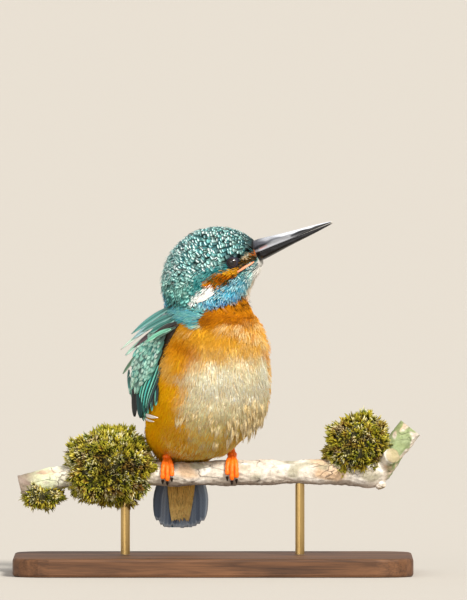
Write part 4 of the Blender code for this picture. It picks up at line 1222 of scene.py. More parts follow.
def bill_half(name, side, depth, replaced, material):
    """One mandible: half ovals that shrink to the tip; a ridge, a nostril and a turned-in edge."""
    right = roll_matrix() @ right_vector(HEAD_HEADING)
    up = np.cross(right, bill_direction()) * side
    root = rolled(head_point(*BILL_LEVEL)) + 0.5 * UP
    forward = unit(bill_direction() + BILL_DROOP * UP)
    t = np.linspace(BILL_START, 1.0, BILL_ROWS)[:, None]
    late = np.clip(t, 0.0, 1.0)
    width = BILL_HALF_WIDTH * ((1 - late) ** 1.15 * 0.94 + 0.06) * (1 - 0.25 * np.clip(-t, 0, 1) / 0.09)
    height = depth * ((1 - late) ** 0.85 * 0.93 + 0.07)
    arc = np.linspace(0.0, math.pi, BILL_COLUMNS)[None, :]
    across = width * np.sign(np.cos(arc)) * np.abs(np.cos(arc)) ** 1.05
    ridge = 1 + 0.03 * hump(arc, math.pi / 2, 0.22)
    rise = 0.12 + height * (1 - 0.09 * hump(late, 0.45, 0.3)) * np.sin(arc) ** 0.9 * ridge
    folded = np.minimum(arc, math.pi - arc)
    nostril = hump(t, 0.135, 0.035) * hump(folded, 0.62, 0.12)
    groove = ease(-t, -0.42, -0.1) * hump(folded, 0.56, 0.16) * 0.5
    dent = (nostril * 0.55 + groove * 0.22) * (side > 0)
    pull = np.stack((across, rise), axis=-1)
    pull = pull - unit(pull) * dent[..., None]
    rings = root + forward * BILL_LENGTH * t[..., None] + pull[..., :1] * right + pull[..., 1:] * up
    points, faces = loft(rings if side < 0 else rings[:, ::-1])
    along = np.concatenate((np.repeat(t[:, 0], BILL_COLUMNS), (0.0, 1.0)))
    around = np.concatenate((np.tile(folded[0, ::-1], BILL_ROWS), (0.0, 0.0)))
    # the side towards the camera, on which the sheen is painted
    front = ease((points - root) @ right, -0.8, 0.4)
    put(name, points, faces, material, (replaced,),
        tints={"tint": horn_paint(points, along, around, front, side > 0)})


def horn_finish():
    """Polished horn with fine scratches along it."""
    material, tree, shader = tinted("bill_horn_fine", 0.26, Specular_IOR_Level=0.32, Coat_Weight=0.12,
                                    Coat_Roughness=0.12)
    scratch = grain(tree, 1.0, 4.0, (500.0, 1500.0, 2600.0))
    wire(tree, sums(tree, "MULTIPLY_ADD", scratch, 0.28, 0.14), shader.inputs["Roughness"])
    bump(tree, shader, scratch, 0.3, 0.12)
    return material


def make_gape():
    """The fleshy corner of the mouth on each side: a thin tube, thickest in its middle."""
    material, tree, shader = finish("gape_skin", 0.38, Specular_IOR_Level=0.5)
    shader.inputs["Base Color"].default_value = (*paint(246, 150, 112), 1.0)
    radii = 0.52 * np.sin(np.linspace(0.12, 0.92, GAPE_RINGS) * math.pi) ** 0.6
    u, v = chart_place(GAPE_FORWARD, GAPE_UP)
    shells = []
    for sign in (1, -1):
        path = spline(body_points(u, v * sign) - body_normals(u, v * sign) * 0.15, GAPE_RINGS)
        shells.append(loft(tube_rings(path, radii, 12)))
    points, faces = merged(shells)
    put("gape_edge", points, faces, material)


def make_bill():
    """Both mandibles in one horn, and the gape between them."""
    horn = horn_finish()
    bill_half("bill_upper_horn", 1.0, UPPER_BILL_DEPTH, "bill_upper", horn)
    bill_half("bill_lower_horn", -1.0, LOWER_BILL_DEPTH, "bill_lower", horn)
    make_gape()


# ---- wings ------------------------------------------------------------------------------
WING_TOP, WING_FOOT = 6.15, 1.1
RUFFLE_AT, RUFFLE_REACH = 0.43, 0.27
WING_STAND = 0.6
# side sign, leading and trailing angle, how far the trailing edge stands off
WINGS = {"right": (1, 87.0, 140.0, 16.2), "left": (-1, 96.0, 168.0, 1.2)}
WING_SEEDS = {"right": 81, "left": 82}
FLIGHT_HALF_WIDTH = {"right": 1.9, "left": 2.4}
BIG_SHARES = np.linspace(0.0, 1.0, 11)
LANCE = np.array((0.35, 0.6, 0.8, 0.93, 1.0, 1.0, 0.95, 0.84, 0.66, 0.4, 0.12))
ROUND = np.array((0.35, 0.6, 0.8, 0.93, 1.0, 1.02, 1.02, 1.0, 0.93, 0.75, 0.35))
BIG_THICKNESS = 0.22
# how far down the wing's sheet reaches, and where the field of coverts lies on it: down, from, to
WING_REACH = {"right": 0.86, "left": 0.985}
COVERTS = {
    "right": ((0.12, 0.22, 0.34, 0.50, 0.59, 0.665), (0.24, 0.14, 0.05, 0.12, 0.25, 0.46),
              (0.42, 0.46, 0.44, 0.40, 0.43, 0.55)),
    "left": ((0.02, 0.20, 0.45, 0.60, 0.72, 0.80), (0.05, 0.02, 0.02, 0.20, 0.46, 0.70),
             (0.95, 0.98, 0.98, 0.98, 0.98, 0.98)),
}
COVERT_ROWS = 17
# painted shade: dark at the covered root, lighter at the open tip
COVERT_SHADES = np.interp(BIG_SHARES, (0.0, 0.5, 0.8, 1.0), (0.3, 0.5, 1.0, 1.05))[:, None]
# flight feathers from the front edge back: start down and across, end down and across, dark or teal
FLIGHT = {
    "right": ((0.36, -0.02, 0.66, -0.10, 1.0), (0.36, 0.04, 0.70, 0.00, 1.0), (0.38, 0.09, 0.73, 0.09, 1.0),
              (0.42, 0.14, 0.745, 0.18, 1.0), (0.46, 0.19, 0.76, 0.27, 1.0), (0.50, 0.25, 0.77, 0.37, 0.9),
              (0.54, 0.32, 0.78, 0.47, 0.5), (0.56, 0.40, 0.80, 0.58, 0.15), (0.58, 0.48, 0.80, 0.70, 0.05),
              (0.60, 0.56, 0.79, 0.80, 0.05)),
    "left": tuple((0.30 + 0.02 * k, 0.03 + 0.09 * k, 1.03 - 0.012 * k, 0.02 + 0.096 * k, 0.45 - 0.04 * k)
                  for k in range(11)),
}
# feathers of the raised wing that lie over the flank, the last two white: start u and v, end u and v,
# half width, lift
SIDE_FEATHERS = (
    (3.9, 2.12, 2.62, 1.72, 2.2, 1.1), (4.05, 2.00, 2.80, 1.58, 2.2, 1.2), (4.2, 1.90, 2.98, 1.48, 2.1, 1.3),
    (4.35, 1.78, 3.22, 1.41, 1.9, 1.4),
    (2.60, 1.78, 2.93, 1.28, 0.85, 1.4), (2.50, 1.74, 2.74, 1.36, 0.55, 1.2),
)
SIDE_TONES = ((14, 44, 48),) * 4 + ((236, 226, 216),) * 2
SIDE_EDGES = ((110, 226, 204),) * 4 + ((255, 252, 246),) * 2
# long loose shoulder feathers of the raised wing: start, end, half width, bow, round or pointed, tone
RAISED = (
    ((-18.0, -26.5, 115.4), (-34.8, -9.0, 103.4), 1.6, 1.4, 0, (84, 156, 150)),
    ((-17.5, -27.5, 113.0), (-34.6, -9.5, 101.0), 1.7, 1.4, 0, (150, 190, 196)),
    ((-16.5, -29.0, 112.2), (-30.5, -16.0, 104.4), 1.8, 1.2, 0, (66, 132, 126)),
    ((-16.5, -29.5, 110.0), (-27.6, -20.5, 103.6), 1.9, 0.9, 0, (50, 122, 112)),
    ((-25.0, -18.0, 108.0), (-39.6, -5.0, 96.5), 0.9, 0.9, 0, (206, 236, 216)),
    ((-25.0, -17.0, 105.4), (-37.5, -5.0, 94.0), 1.15, 0.7, 1, (176, 222, 200)),
    ((-23.5, -20.5, 106.6), (-33.8, -10.0, 97.4), 1.2, 0.5, 0, (92, 74, 80)),
    ((-25.0, -17.0, 103.0), (-38.6, -3.0, 86.2), 0.9, 1.2, 1, (98, 134, 108)),
    ((-28.0, -13.0, 100.5), (-36.0, -7.0, 84.6), 0.5, 1.0, 0, (226, 240, 230)),
    ((-29.0, -12.0, 96.0), (-35.5, -6.0, 78.8), 0.5, 0.8, 0, (150, 186, 164)),
    ((-18.0, -29.8, 106.2), (-29.0, -22.5, 100.0), 1.2, 0.8, 0, (120, 196, 166)),
    ((-15.5, -30.8, 109.0), (-24.6, -24.5, 104.4), 1.2, 0.5, 0, (46, 44, 42)),
    ((-16.0, -30.8, 107.0), (-25.5, -25.0, 101.0), 1.1, 0.6, 0, (70, 96, 84)),
    ((-33.6, -5.5, 86.0), (-33.6, -2.0, 67.6), 1.5, 0.3, 1, (30, 32, 34)),
    ((-32.0, -6.5, 84.0), (-31.0, -3.2, 67.0), 1.5, 0.3, 1, (16, 66, 68)),
    ((-30.6, -7.5, 83.0), (-28.6, -4.6, 67.2), 1.4, 0.3, 1, (30, 110, 104)),
)
RAISED_FACING = np.array((-0.42, -0.80, 0.42))
# painted shade: dark at the covered root, lighter at the open tip
RAISED_SHADES = np.interp(BIG_SHARES, (0.0, 0.3, 1.0), (0.5, 0.9, 1.05))[:, None]
UNDER_ROWS, UNDER_COLUMNS = 8, 7
UNDER_FAR = {"right": 0.42, "left": 0.95}
SHOULDER_FEATHERS = 19


def pairs(a, b):
    """Two rows of numbers side by side."""
    return np.stack((a, b), axis=1)


def wing_points(side, t, e, out):
    """The wing's sheet: t from shoulder to tip, e from leading to trailing edge, out from the body."""
    sign, lead, trail, lift = WINGS[side]
    t, e = np.asarray(t, float), np.asarray(e, float)
    u = WING_TOP + (WING_FOOT - WING_TOP) * t
    narrowing = 1.0 - 0.62 * np.clip(t, 0.0, 1.1) ** 2.2
    v = np.radians(lead + (trail - lead) * (e * narrowing + 0.5 * np.maximum(t, 0.0) ** 2)) * sign
    rise = lift * hump(t, RUFFLE_AT, RUFFLE_REACH)
    stand = WING_STAND + rise * np.clip(e / 0.7, 0.0, 1.0) ** 1.3 + out
    return body_points(u, v) + body_normals(u, v) * stand[..., None]


def wing_normals(side, t, e):
    """Unit cross product of the sheet's slopes, turned to face out on either side."""
    down, across = slopes(lambda x, y: wing_points(side, x, y, 0.0), t, e, 0.02)
    return unit(np.cross(across, down)) * WINGS[side][0]


def wing_feathers(name, material, side, start, end, half, out, shape, tint, mark, bow=0.0, section=QUILL,
                  inner=False):
    """Long feathers on the wing's sheet from start to end (t, e), bowed a little, lifted by out."""
    share = BIG_SHARES[None, :, None]
    line = start[:, None] * (1 - share) + end[:, None] * share
    t, e = line[..., 0], line[..., 1] + bow * 4 * BIG_SHARES * (1 - BIG_SHARES)
    lie = wing_points(side, t, e, out), wing_normals(side, t, e) * (-1 if inner else 1)
    across, down = np.clip(start[:, 1], 0, 1), np.clip(start[:, 0] + 0.1, 0, 1)
    half = half[:, None]
    return coat(name, material, lie, half * shape, BIG_THICKNESS * half ** 0.5,
                section, BIG_SHARES, tint if tint.ndim == 3 else tint[:, None],
                pairs(0.08 + 0.84 * across, 0.08 + 0.84 * down), mark)


def wing_shade_sheet(side, material):
    """The dark sheet under the wing feathers, painted shade that shows in the gaps between them: an outer and
    an inner face joined round the rim.
    """
    t = np.linspace(0.0, WING_REACH[side], 40)[:, None] + np.zeros(24)
    far = 0.97 if side == "left" else 0.42 + 0.36 * ease(t, 0.68, 0.80)
    e = 0.02 + np.linspace(0.0, 1.0, 24) * (far - 0.02)
    outer, inner = (wing_points(side, t, e, out) for out in (0.15, -0.5))
    rings = np.concatenate((outer, inner[:, ::-1]), axis=1)
    points, faces = loft(rings[:, ::-1] if WINGS[side][0] < 0 else rings)
    put(f"wing_shade_sheet_{side}", points, faces, material, (f"wing_{side}",))


def make_flights(side, material, random):
    """Flight feathers, the front ones on top, dark with teal outer webs."""
    start_t, start_e, end_t, end_e, teal = np.array(FLIGHT[side]).T
    count = len(teal)
    out = 0.75 - 0.045 * np.arange(count)[:, None] + 0.25 * BIG_SHARES
    dark = mottled(random.random(count), (16, 70, 70), (18, 54, 58), (14, 82, 78))
    web = mottled(random.random(count), (110, 236, 214), (84, 220, 210), (140, 244, 222))
    wing_feathers(f"flight_feathers_{side}", material, side, pairs(start_t, start_e), pairs(end_t, end_e),
                  np.full(count, FLIGHT_HALF_WIDTH[side]), out, ROUND, dark,
                  with_strength(web, 0.15 + 0.85 * teal), 0.02)


def make_side_feathers(material):
    """Straight feathers from (u, v) to (u, v) over the flank, lifting towards their ends."""
    start_u, start_v, end_u, end_v, half, high = np.array(SIDE_FEATHERS)[:, :, None].transpose(1, 0, 2)
    us, vs = start_u + (end_u - start_u) * BIG_SHARES, start_v + (end_v - start_v) * BIG_SHARES
    normals = body_normals(us, vs)
    lift = high * (0.3 + 0.7 * BIG_SHARES) - pressed(us, vs)
    lie = body_points(us, vs) + normals * lift[..., None], normals
    tint = np.array([paint(*tone) for tone in SIDE_TONES])[:, None]
    mark = with_strength(np.array([paint(*tone) for tone in SIDE_EDGES]), 0.95)
    coat("side_feathers", material, lie, half * np.where(half > 1.0, ROUND, LANCE),
         BIG_THICKNESS, QUILL, BIG_SHARES, tint, unwrap(start_u[:, 0], start_v[:, 0]), mark)


def make_coverts(side, material, random):
    """Spotted coverts in rows up the field, from the greater ones to the shoulder, smaller and smaller."""
    down, near, far = COVERTS[side]
    rows = []
    for row in range(COVERT_ROWS):
        up = row / (COVERT_ROWS - 1)
        tip = down[-1] * (1 - up) + (down[0] + 0.04) * up
        low, high = np.interp(tip, down, near), np.interp(tip, down, far)
        edge = wing_points(side, np.full(9, tip), np.linspace(low, high, 9), 0.0)
        girth = np.linalg.norm(np.diff(edge, axis=0), axis=1).sum()
        across = max(2, int(round(girth / (1.45 - 0.3 * up))))
        e = low + (high - low) * (np.arange(across) + 0.5 * (row % 2)) / (across - 0.5)
        tips = tip + random.normal(0, 0.008, across)
        reach = (0.15 - 0.05 * up) * random.uniform(0.85, 1.15, across)
        start = pairs(tips - reach, e + random.normal(0, 0.01, across))
        end = pairs(tips, e + 0.02 + random.normal(0, 0.016, across))
        half = (1.25 - 0.25 * up) * random.uniform(0.75, 1.1, across)
        out = 0.95 + 0.5 * up + 0.75 * BIG_SHARES ** 2 + random.uniform(0, 0.35, across)[:, None]
        rows.append((start, end, half, out))
    start, end, half, out = (np.concatenate(values) for values in zip(*rows))
    count = len(half)
    shade = varied(random, 0.12, count, 1)
    tint = mottled(random.random(count), (100, 170, 156), (72, 152, 146), (124, 180, 166), (104, 144, 136))
    spot = mottled(random.random(count), (190, 236, 220), (160, 222, 204), (214, 244, 230)) * shade
    mark = with_strength(np.clip(spot, 0, 1), random.uniform(0.4, 1.0, count))
    wing_feathers(f"wing_coverts_{side}", material, side, start, end, half, out, ROUND,
                  (tint * shade)[:, None] * COVERT_SHADES, mark)


def make_underwing(side, material, random):
    """The wing's inner face: buff-brown coverts over grey flight feathers."""
    t = np.repeat(np.linspace(0.10, 0.62, UNDER_ROWS), UNDER_COLUMNS)
    long = np.repeat(np.linspace(0.14, 0.26, UNDER_ROWS), UNDER_COLUMNS)
    e = np.tile(np.linspace(0.05, UNDER_FAR[side], UNDER_COLUMNS), UNDER_ROWS)
    e = e + random.normal(0, 0.01, len(t))
    tint = mottled(random.random(len(t)), (176, 118, 66), (196, 140, 88), (150, 104, 64))
    tint = mix(tint, (96, 92, 92), ease(t, 0.42, 0.60))
    wing_feathers(f"underwing_{side}", material, side, pairs(t, e), pairs(t + long, e), np.full(len(t), 1.7),
                  -0.75 - 0.35 * BIG_SHARES ** 2, ROUND, tint, with_strength(np.clip(tint * 1.3, 0, 1), 0.5),
                  section=VANE, inner=True)


def make_raised(material, random):
    """Bowed shoulder feathers from start to end, each swelling towards its end or its middle."""
    start, end, half, bow, rounded = (np.array([row[k] for row in RAISED], float) for k in range(5))
    tone = np.array([paint(*row[5]) for row in RAISED])
    count = len(RAISED)
    share = BIG_SHARES[None, :, None]
    facing = unit(RAISED_FACING + random.normal(0, 0.10, (count, 3)))[:, None]
    rise = np.cross(unit(end - start), facing[:, 0])
    rise = (rise * np.sign(rise[:, 2:]) * bow[:, None])[:, None]
    axis = (start[:, None] * (1 - share) + end[:, None] * share
            + rise * 4 * share * (1 - share) * 0.6 + facing * 0.5 * share)
    # pale rims of the shoulder feathers: partly their own paler edges, partly painted highlight along them
    edges = np.clip(tone * 1.3 + 0.22 * (tone[:, 1:2] > 0.15), 0, 1)
    coat("scapulars_right", material, (axis, facing),
         half[:, None] * np.where(rounded[:, None] > 0, ROUND, LANCE), BIG_THICKNESS * half[:, None] ** 0.5,
         QUILL, BIG_SHARES, tone[:, None] * RAISED_SHADES,
         pairs(np.linspace(0.05, 0.95, count), np.full(count, 0.97)), with_strength(edges, 0.8))


def make_laid(material, random):
    """Shoulder feathers of the folded wing, laid down side by side."""
    k = np.arange(SHOULDER_FEATHERS) / (SHOULDER_FEATHERS - 1)
    start = pairs(-0.06 + 0.08 * k, 0.20 + 0.78 * k) + random.normal(0, 0.012, (SHOULDER_FEATHERS, 2))
    end = pairs(start[:, 0] + 0.26 + 0.10 * k, start[:, 1] + 0.06)
    end = end + random.normal(0, 0.02, (SHOULDER_FEATHERS, 2))
    tint = mottled(random.random(SHOULDER_FEATHERS), (84, 172, 150), (52, 124, 116), (120, 190, 166))
    half = 1.5 + 0.5 * random.random(SHOULDER_FEATHERS)
    # pale rims: partly the feathers' own paler edges, partly painted highlight
    wing_feathers("scapulars_left", material, "left", start, end, half, 1.5 + 0.9 * BIG_SHARES ** 1.3, LANCE,
                  tint, np.append(paint(190, 236, 222), 0.8))


def make_wing(side, shade_sheet, spotted, edged, flight):
    """Dark sheet of painted shade under the feathers, flight feathers, coverts, inner face and shoulder
    feathers.
    """
    random = np.random.default_rng(WING_SEEDS[side])
    wing_shade_sheet(side, shade_sheet)
    make_flights(side, flight, random)
    if side == "right":
        make_side_feathers(flight)
    make_coverts(side, spotted, random)
    make_underwing(side, edged, random)
    shoulder = make_raised if side == "right" else make_laid
    shoulder(edged, random)


# ---- tail -------------------------------------------------------------------------------
TAIL_TIP, TAIL_ROOT = np.array((-14.4, 21.5, 20.2)), np.array((-13.8, 15.0, 45.4))
TAIL_HALF_WIDTH, TAIL_THICKNESS, TAIL_TURN, TAIL_ARCH = (7.6, 11.5), 1.3, 0.35, 0.9
TAIL_FEATHERS, TAIL_VANE, TAIL_VANE_THICKNESS = 12, 2.35, 0.25
TAIL_COVERTS = 1500
# painted shade: dark at the covered root, lighter at the open tip
TAIL_SHADES = np.array((0.55, 0.85, 1.0, 1.12))[:, None]
# coverts under and over the tail: facing, piece, node, slot, half width, depth, reach, half width of
# a strand, tone, tone of the ones further down
COVERT_FANS = (
    (-1, "undertail_coverts", "tail_coverts_under", "vent_plumage", 6.2, 4.4, 0.97, 0.34,
     (224, 186, 104), (244, 222, 160)),
    (1, "uppertail_coverts", "tail_coverts_upper", "azure_plumage", 7.6, 4.0, 0.72, 0.6,
     (10, 120, 200), (110, 220, 250)),
)


def tail_points(t, across, out):
    """The tail's arched middle surface: t down it, across to the bird's right, out to its back."""
    down = unit(TAIL_TIP - TAIL_ROOT)
    side = right_vector(BODY_HEADING * TAIL_TURN)
    back = np.cross(down, side)
    back = back if back[1] > 0 else -back
    arch = -TAIL_ARCH * (across / TAIL_HALF_WIDTH[1]) ** 2
    return (TAIL_ROOT + (TAIL_TIP - TAIL_ROOT) * t[..., None] + side * across[..., None]
            + back * (out + arch)[..., None])


def tail_lie(t, across, out, facing):
    """Axis and normals of feathers on the tail; facing is 1 for its back, -1 for its underside."""
    down, over = slopes(lambda x, y: tail_points(x, y, 0.0), t, across, 0.02)
    normals = unit(np.cross(down, over))
    return tail_points(t, across, out), normals * np.sign(normals[..., 1:2]) * facing


def tail_vanes(title, material, facing):
    """Twelve overlapping feathers, slate beneath and deep blue above, shorter towards the sides."""
    random = np.random.default_rng(91 + facing)
    c = (np.arange(TAIL_FEATHERS) - 5.5) / 5.5
    length = 1.045 - 0.13 * np.abs(c) ** 3.5 - 0.02 * random.random(TAIL_FEATHERS)
    narrow, wide = TAIL_HALF_WIDTH
    spread = narrow + (wide - narrow) * np.minimum(1, 1.8 * BIG_SHARES) ** 0.7
    loose = 0.2 * random.normal(0, 1, (TAIL_FEATHERS, 1)) * BIG_SHARES * (np.abs(c) < 0.95)[:, None]
    across = c[:, None] * (spread - 1.9) + loose
    pick = random.random(TAIL_FEATHERS)
    if facing < 0:
        out = -0.30 - 0.28 * np.abs(c)
        tint, edges = mottled(pick, (110, 126, 146), (88, 104, 126), (126, 140, 158)), paint(178, 196, 214)
    else:
        out = 0.62 - 0.3 * np.abs(c)
        tint, edges = mix((16, 66, 120), (20, 90, 150), pick), paint(50, 150, 200)
    lie = tail_lie(BIG_SHARES * length[:, None], across, out[:, None], facing)
    half = np.full((TAIL_FEATHERS, 1), TAIL_VANE) * ROUND
    places = pairs(0.5 + 0.4 * c, np.full(TAIL_FEATHERS, 0.5))
    return coat(title, material, lie, half, TAIL_VANE_THICKNESS, QUILL, BIG_SHARES,
                tint[:, None], places, np.append(edges, 0.9))


def tail_coverts(material, random, facing, title, node_name, slot, width, depth, reach, strand, tone, tip):
    """A half cone of soft feathers that thins out down the tail."""
    count = TAIL_COVERTS
    first = random.uniform(-0.14, 0.80, count)
    angle = random.uniform(0.05, math.pi - 0.05, count)
    long = np.where(first > 0.55, 0.16, 0.24) * random.uniform(0.8, 1.15, count)
    t = first[:, None] + long[:, None] * HAIR_SHARES
    t = np.minimum(t, 1.0 - 0.16 * random.random((count, 1)))
    half = width * (1 - 0.45 * np.clip(t, 0, 1) ** 2) * (0.94 + 0.06 * random.random((count, 1)))
    thick = depth * (1 - np.clip(t, 0, 1)) ** 0.8 + 0.7
    swell = 0.55 + 0.45 * HAIR_SHARES
    around = angle[:, None] + random.normal(0, 0.05, (count, 1)) * HAIR_SHARES
    out = facing * (TAIL_THICKNESS / 2 + 0.4 + thick * np.sin(around) * swell - 0.2)
    axis, normals = tail_lie(t * reach, half * np.cos(around) * (0.9 + 0.1 * swell), out, facing)
    sideways = right_vector(BODY_HEADING * TAIL_TURN) * np.cos(around)[..., None]
    shine = varied(random, 0.14, count, 1, 1)
    tint = mix(paint(*tone), tip, ease(first, 0.0, 0.9) * 0.5)[:, None] * shine * TAIL_SHADES
    made = coat(title, material, (axis, unit(normals + sideways * 0.8)),
                strand * HAIR_WIDTHS * np.ones((count, 1)), 0.16, HAIR, HAIR_SHARES, tint,
                pairs(0.05 + 0.9 * angle / math.pi, 0.1 + 0.8 * (first + 0.14)))
    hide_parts(node_name)


def make_tail(edged, down):
    """Tail feathers in two facing layers, buff coverts beneath and azure ones above."""
    made = tail_vanes("tail_feathers_under", edged, -1)
    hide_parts("tail")
    tail_vanes("tail_feathers_back", edged, 1)
    random = np.random.default_rng(95)
    for fan in COVERT_FANS:
        tail_coverts(down, random, *fan)


# ---- branch -----------------------------------------------------------------------------
PERCH_RADIUS, PERCH_LEFT, PERCH_BEND, PERCH_STEP = 5.35, -83.0, 71.0, 5.2
PERCH_RISE_ANGLE, PERCH_RISE_LENGTH, PERCH_LEVEL = 52.0, 24.0, 43.2
PERCH_RINGS, PERCH_SIDES, STUB_RINGS, STUB_SIDES = 430, 100, 26, 40
# broken stubs at the bend: foot, tip, radius at each, seed
STUBS = (((74.0, -2.5, 48.0), (77.5, -9.0, 51.0), 3.6, 3.0, 33),
         ((70.0, -1.0, 43.5), (72.5, -2.5, 36.8), 3.2, 1.7, 34))


def perch_line():
    """Middle of the branch and its radius, from the left cut end round the bend to the right."""
    level = np.arange(PERCH_LEFT, PERCH_BEND, PERCH_STEP)
    drop = -7.4 * np.clip((-level - 45.0) / 45.0, 0.0, 1.0) ** 1.6
    sway = 0.5 * np.sin(level / 13.0) + 0.35 * np.sin(level / 5.7 + 1.0)
    points = np.stack((level, 0.6 * np.sin(level / 19.0 + 0.6), PERCH_LEVEL + drop + 0.4 * sway), axis=1)
    points[:, 2] += 0.8 * np.clip(level / 60.0, 0.0, 1.0)
    rise = np.arange(1.0, PERCH_RISE_LENGTH / PERCH_STEP + 1.0) * PERCH_STEP
    slope = np.radians(PERCH_RISE_ANGLE) * np.clip(rise / 9.0, 0.0, 1.0)
    climb = np.stack((np.cumsum(np.cos(slope)), np.zeros_like(rise), np.cumsum(np.sin(slope))), axis=1)
    points = np.concatenate((points, points[-1] + climb * PERCH_STEP))
    x = points[:, 0]
    radii = PERCH_RADIUS + 0.22 * np.sin(x / 7.3) + 0.12 * np.sin(x / 3.1)
    knot = hump(x, PERCH_BEND - 3.0, 5.0)
    return points, radii * (1.0 + 0.3 * knot) - 0.5 * np.clip(-x / 80.0, 0.0, 1.0)


def perch_at(x):
    """The branch's height, depth and radius at x."""
    points, radii = perch_line()
    return [np.interp(x, points[:, 0], column) for column in (points[:, 2], points[:, 1], radii)]


def bark_shell(path, radii, sides, seed, rough=1.0):
    """A tube roughened by flakes and cracks, capped by a flat sawn face; also both kinds of roughness."""
    out = tube_rings(path, np.ones(len(path)), sides) - path[:, None]
    here = path[:, None] + out * radii[:, None, None]
    flakes = waves(here * np.array((0.55, 1.0, 1.0)), 7.0, seed, 3)
    fine = waves(here * np.array((0.6, 1.0, 1.0)), 1.8, seed + 1, 2)
    points, faces = loft(here + out * ((0.24 * flakes + 0.11 * fine) * rough)[..., None])
    return points, faces, *(np.append(x.ravel(), (x[0, 0], x[-1, 0])) for x in (flakes, fine))


def bark_paint(points, flakes, fine):
    """Pale lichened bark with ochre and grey-green patches, dark cracks, green crust at the bend and painted
    shade along the underside.
    """
    x, z = points[:, 0], points[:, 2]
    lit = ease(-x, -84.0, -79.0)
    tone = mix((214, 204, 190), (238, 232, 222), ease(flakes, 0.0, 0.9))
    for share, colour in (
        (ease(waves(points, 17.0, 7), 0.35, 1.0) * 0.6, (196, 150, 96)),
        (ease(waves(points, 12.0, 8), 0.3, 1.0) * 0.7, (150, 146, 120)),
        (ease(fine, 0.3, 1.2) * 0.4, (112, 100, 90)),
        # painted shade: darker along the underside, away from the bend
        (ease(-z + PERCH_LEVEL, 1.5, 6.0) * ease(-x, -70.0, -60.0) * 0.55, (96, 84, 70)),
        (ease(-x, 70.0, 79.0) * 0.85, (124, 104, 92)),
        (hump(x, -72.0, 6.0) * ease(waves(points, 6.0, 9) + 0.9, 0.2, 0.8) * 0.9, (206, 214, 178)),
        (ease(x, 74.0, 77.0) * ease(waves(points, 7.0, 12) + 0.8 * lit, 0.0, 0.5) * 0.85, (132, 152, 96)),
    ):
        tone = mix(tone, colour, share)
    return tone


def bark_finish():
    """The tint under fine speckle, with dark wandering cracks in patches."""
    material, tree, shader = finish("lichened_bark", 0.85, Specular_IOR_Level=0.2)
    speckle = grain(tree, 900.0, 5.0, Roughness=0.7)
    shade = node(tree, "MapRange", None, i0=speckle, i1=0.3, i2=0.7, i3=0.78, i4=1.16).outputs[0]
    wander = node(tree, "TexNoise", None, Vector=object_place(tree), Scale=180.0, Detail=2.0)
    bent = node(tree, "VectorMath", {"operation": "MULTIPLY_ADD"}, i0=wander.outputs["Color"],
                i1=(0.003, 0.003, 0.003), i2=object_place(tree, (0.45, 1.0, 1.0)))
    cells = node(tree, "TexVoronoi", {"feature": "DISTANCE_TO_EDGE"}, Vector=bent.outputs[0], Scale=240.0)
    crack = sums(tree, "MULTIPLY", ramp(tree, cells.outputs["Distance"], 0.055, 0.0),
                 ramp(tree, grain(tree, 110.0, 3.0), 0.47, 0.60))
    ground = shaded(tree, painted(tree, "tint"), shade)
    colour = blend(tree, sums(tree, "MULTIPLY", crack, 0.7), ground, (70, 58, 48))
    wire(tree, colour, shader.inputs["Base Color"])
    bump(tree, shader, sums(tree, "SUBTRACT", speckle, crack), 0.6, 0.35)
    return material


def make_branch():
    """The branch with its knot and two broken stubs at the bend, their ends freshly pale."""
    line, thick = perch_line()
    points, faces, flakes, fine = bark_shell(spline(line, PERCH_RINGS), spline(thick, PERCH_RINGS) - 0.05,
                                             PERCH_SIDES, 31)
    shells, paints = [(points, faces)], [bark_paint(points, flakes, fine)]
    share = np.linspace(0.0, 1.0, STUB_RINGS)
    end = ease(np.append(np.repeat(share, STUB_SIDES), (0.0, 1.0)), 0.93, 1.0) * 0.8
    for base, tip, first, last, seed in STUBS:
        path = np.array(base) + (np.array(tip) - np.array(base)) * share[:, None]
        radii = first + (last - first) * share + 0.4 * hump(share, 0.85, 0.1)
        points, faces, flakes, fine = bark_shell(path, radii, STUB_SIDES, seed, 1.3)
        shells.append((points, faces))
        paints.append(mix(bark_paint(points, flakes, fine), (176, 158, 124), end))
    points, faces = merged(shells)
    put("branch", points, faces, bark_finish(), ("perch",), tints={"tint": np.concatenate(paints)})


# ---- feet -------------------------------------------------------------------------------
FEET_X = {"right": -19.8, "left": 8.2}
TOE_RADIUS, TARSUS_RADIUS, TARSUS_TOP, HEEL_RADIUS = 1.15, 1.35, 62.0, 1.75
# how far to the side each toe points, and how many degrees round the branch it reaches
TOES = {"inner": (-2.1, 96.0), "middle": (-0.1, 116.0), "outer": (1.9, 108.0), "hind": (0.3, -98.0)}
TARSUS_LEAN = {"right": 0.8, "left": -1.0}


def wrap_points(x, degrees, thickness):
    """Points on the branch's skin: degrees from the top towards the front, lifted by thickness."""
    height, depth, radius = perch_at(x)
    angle = np.radians(degrees)
    reach = radius + 0.3 + thickness
    return np.stack((x, depth - reach * np.sin(angle), height + reach * np.cos(angle)), axis=-1)


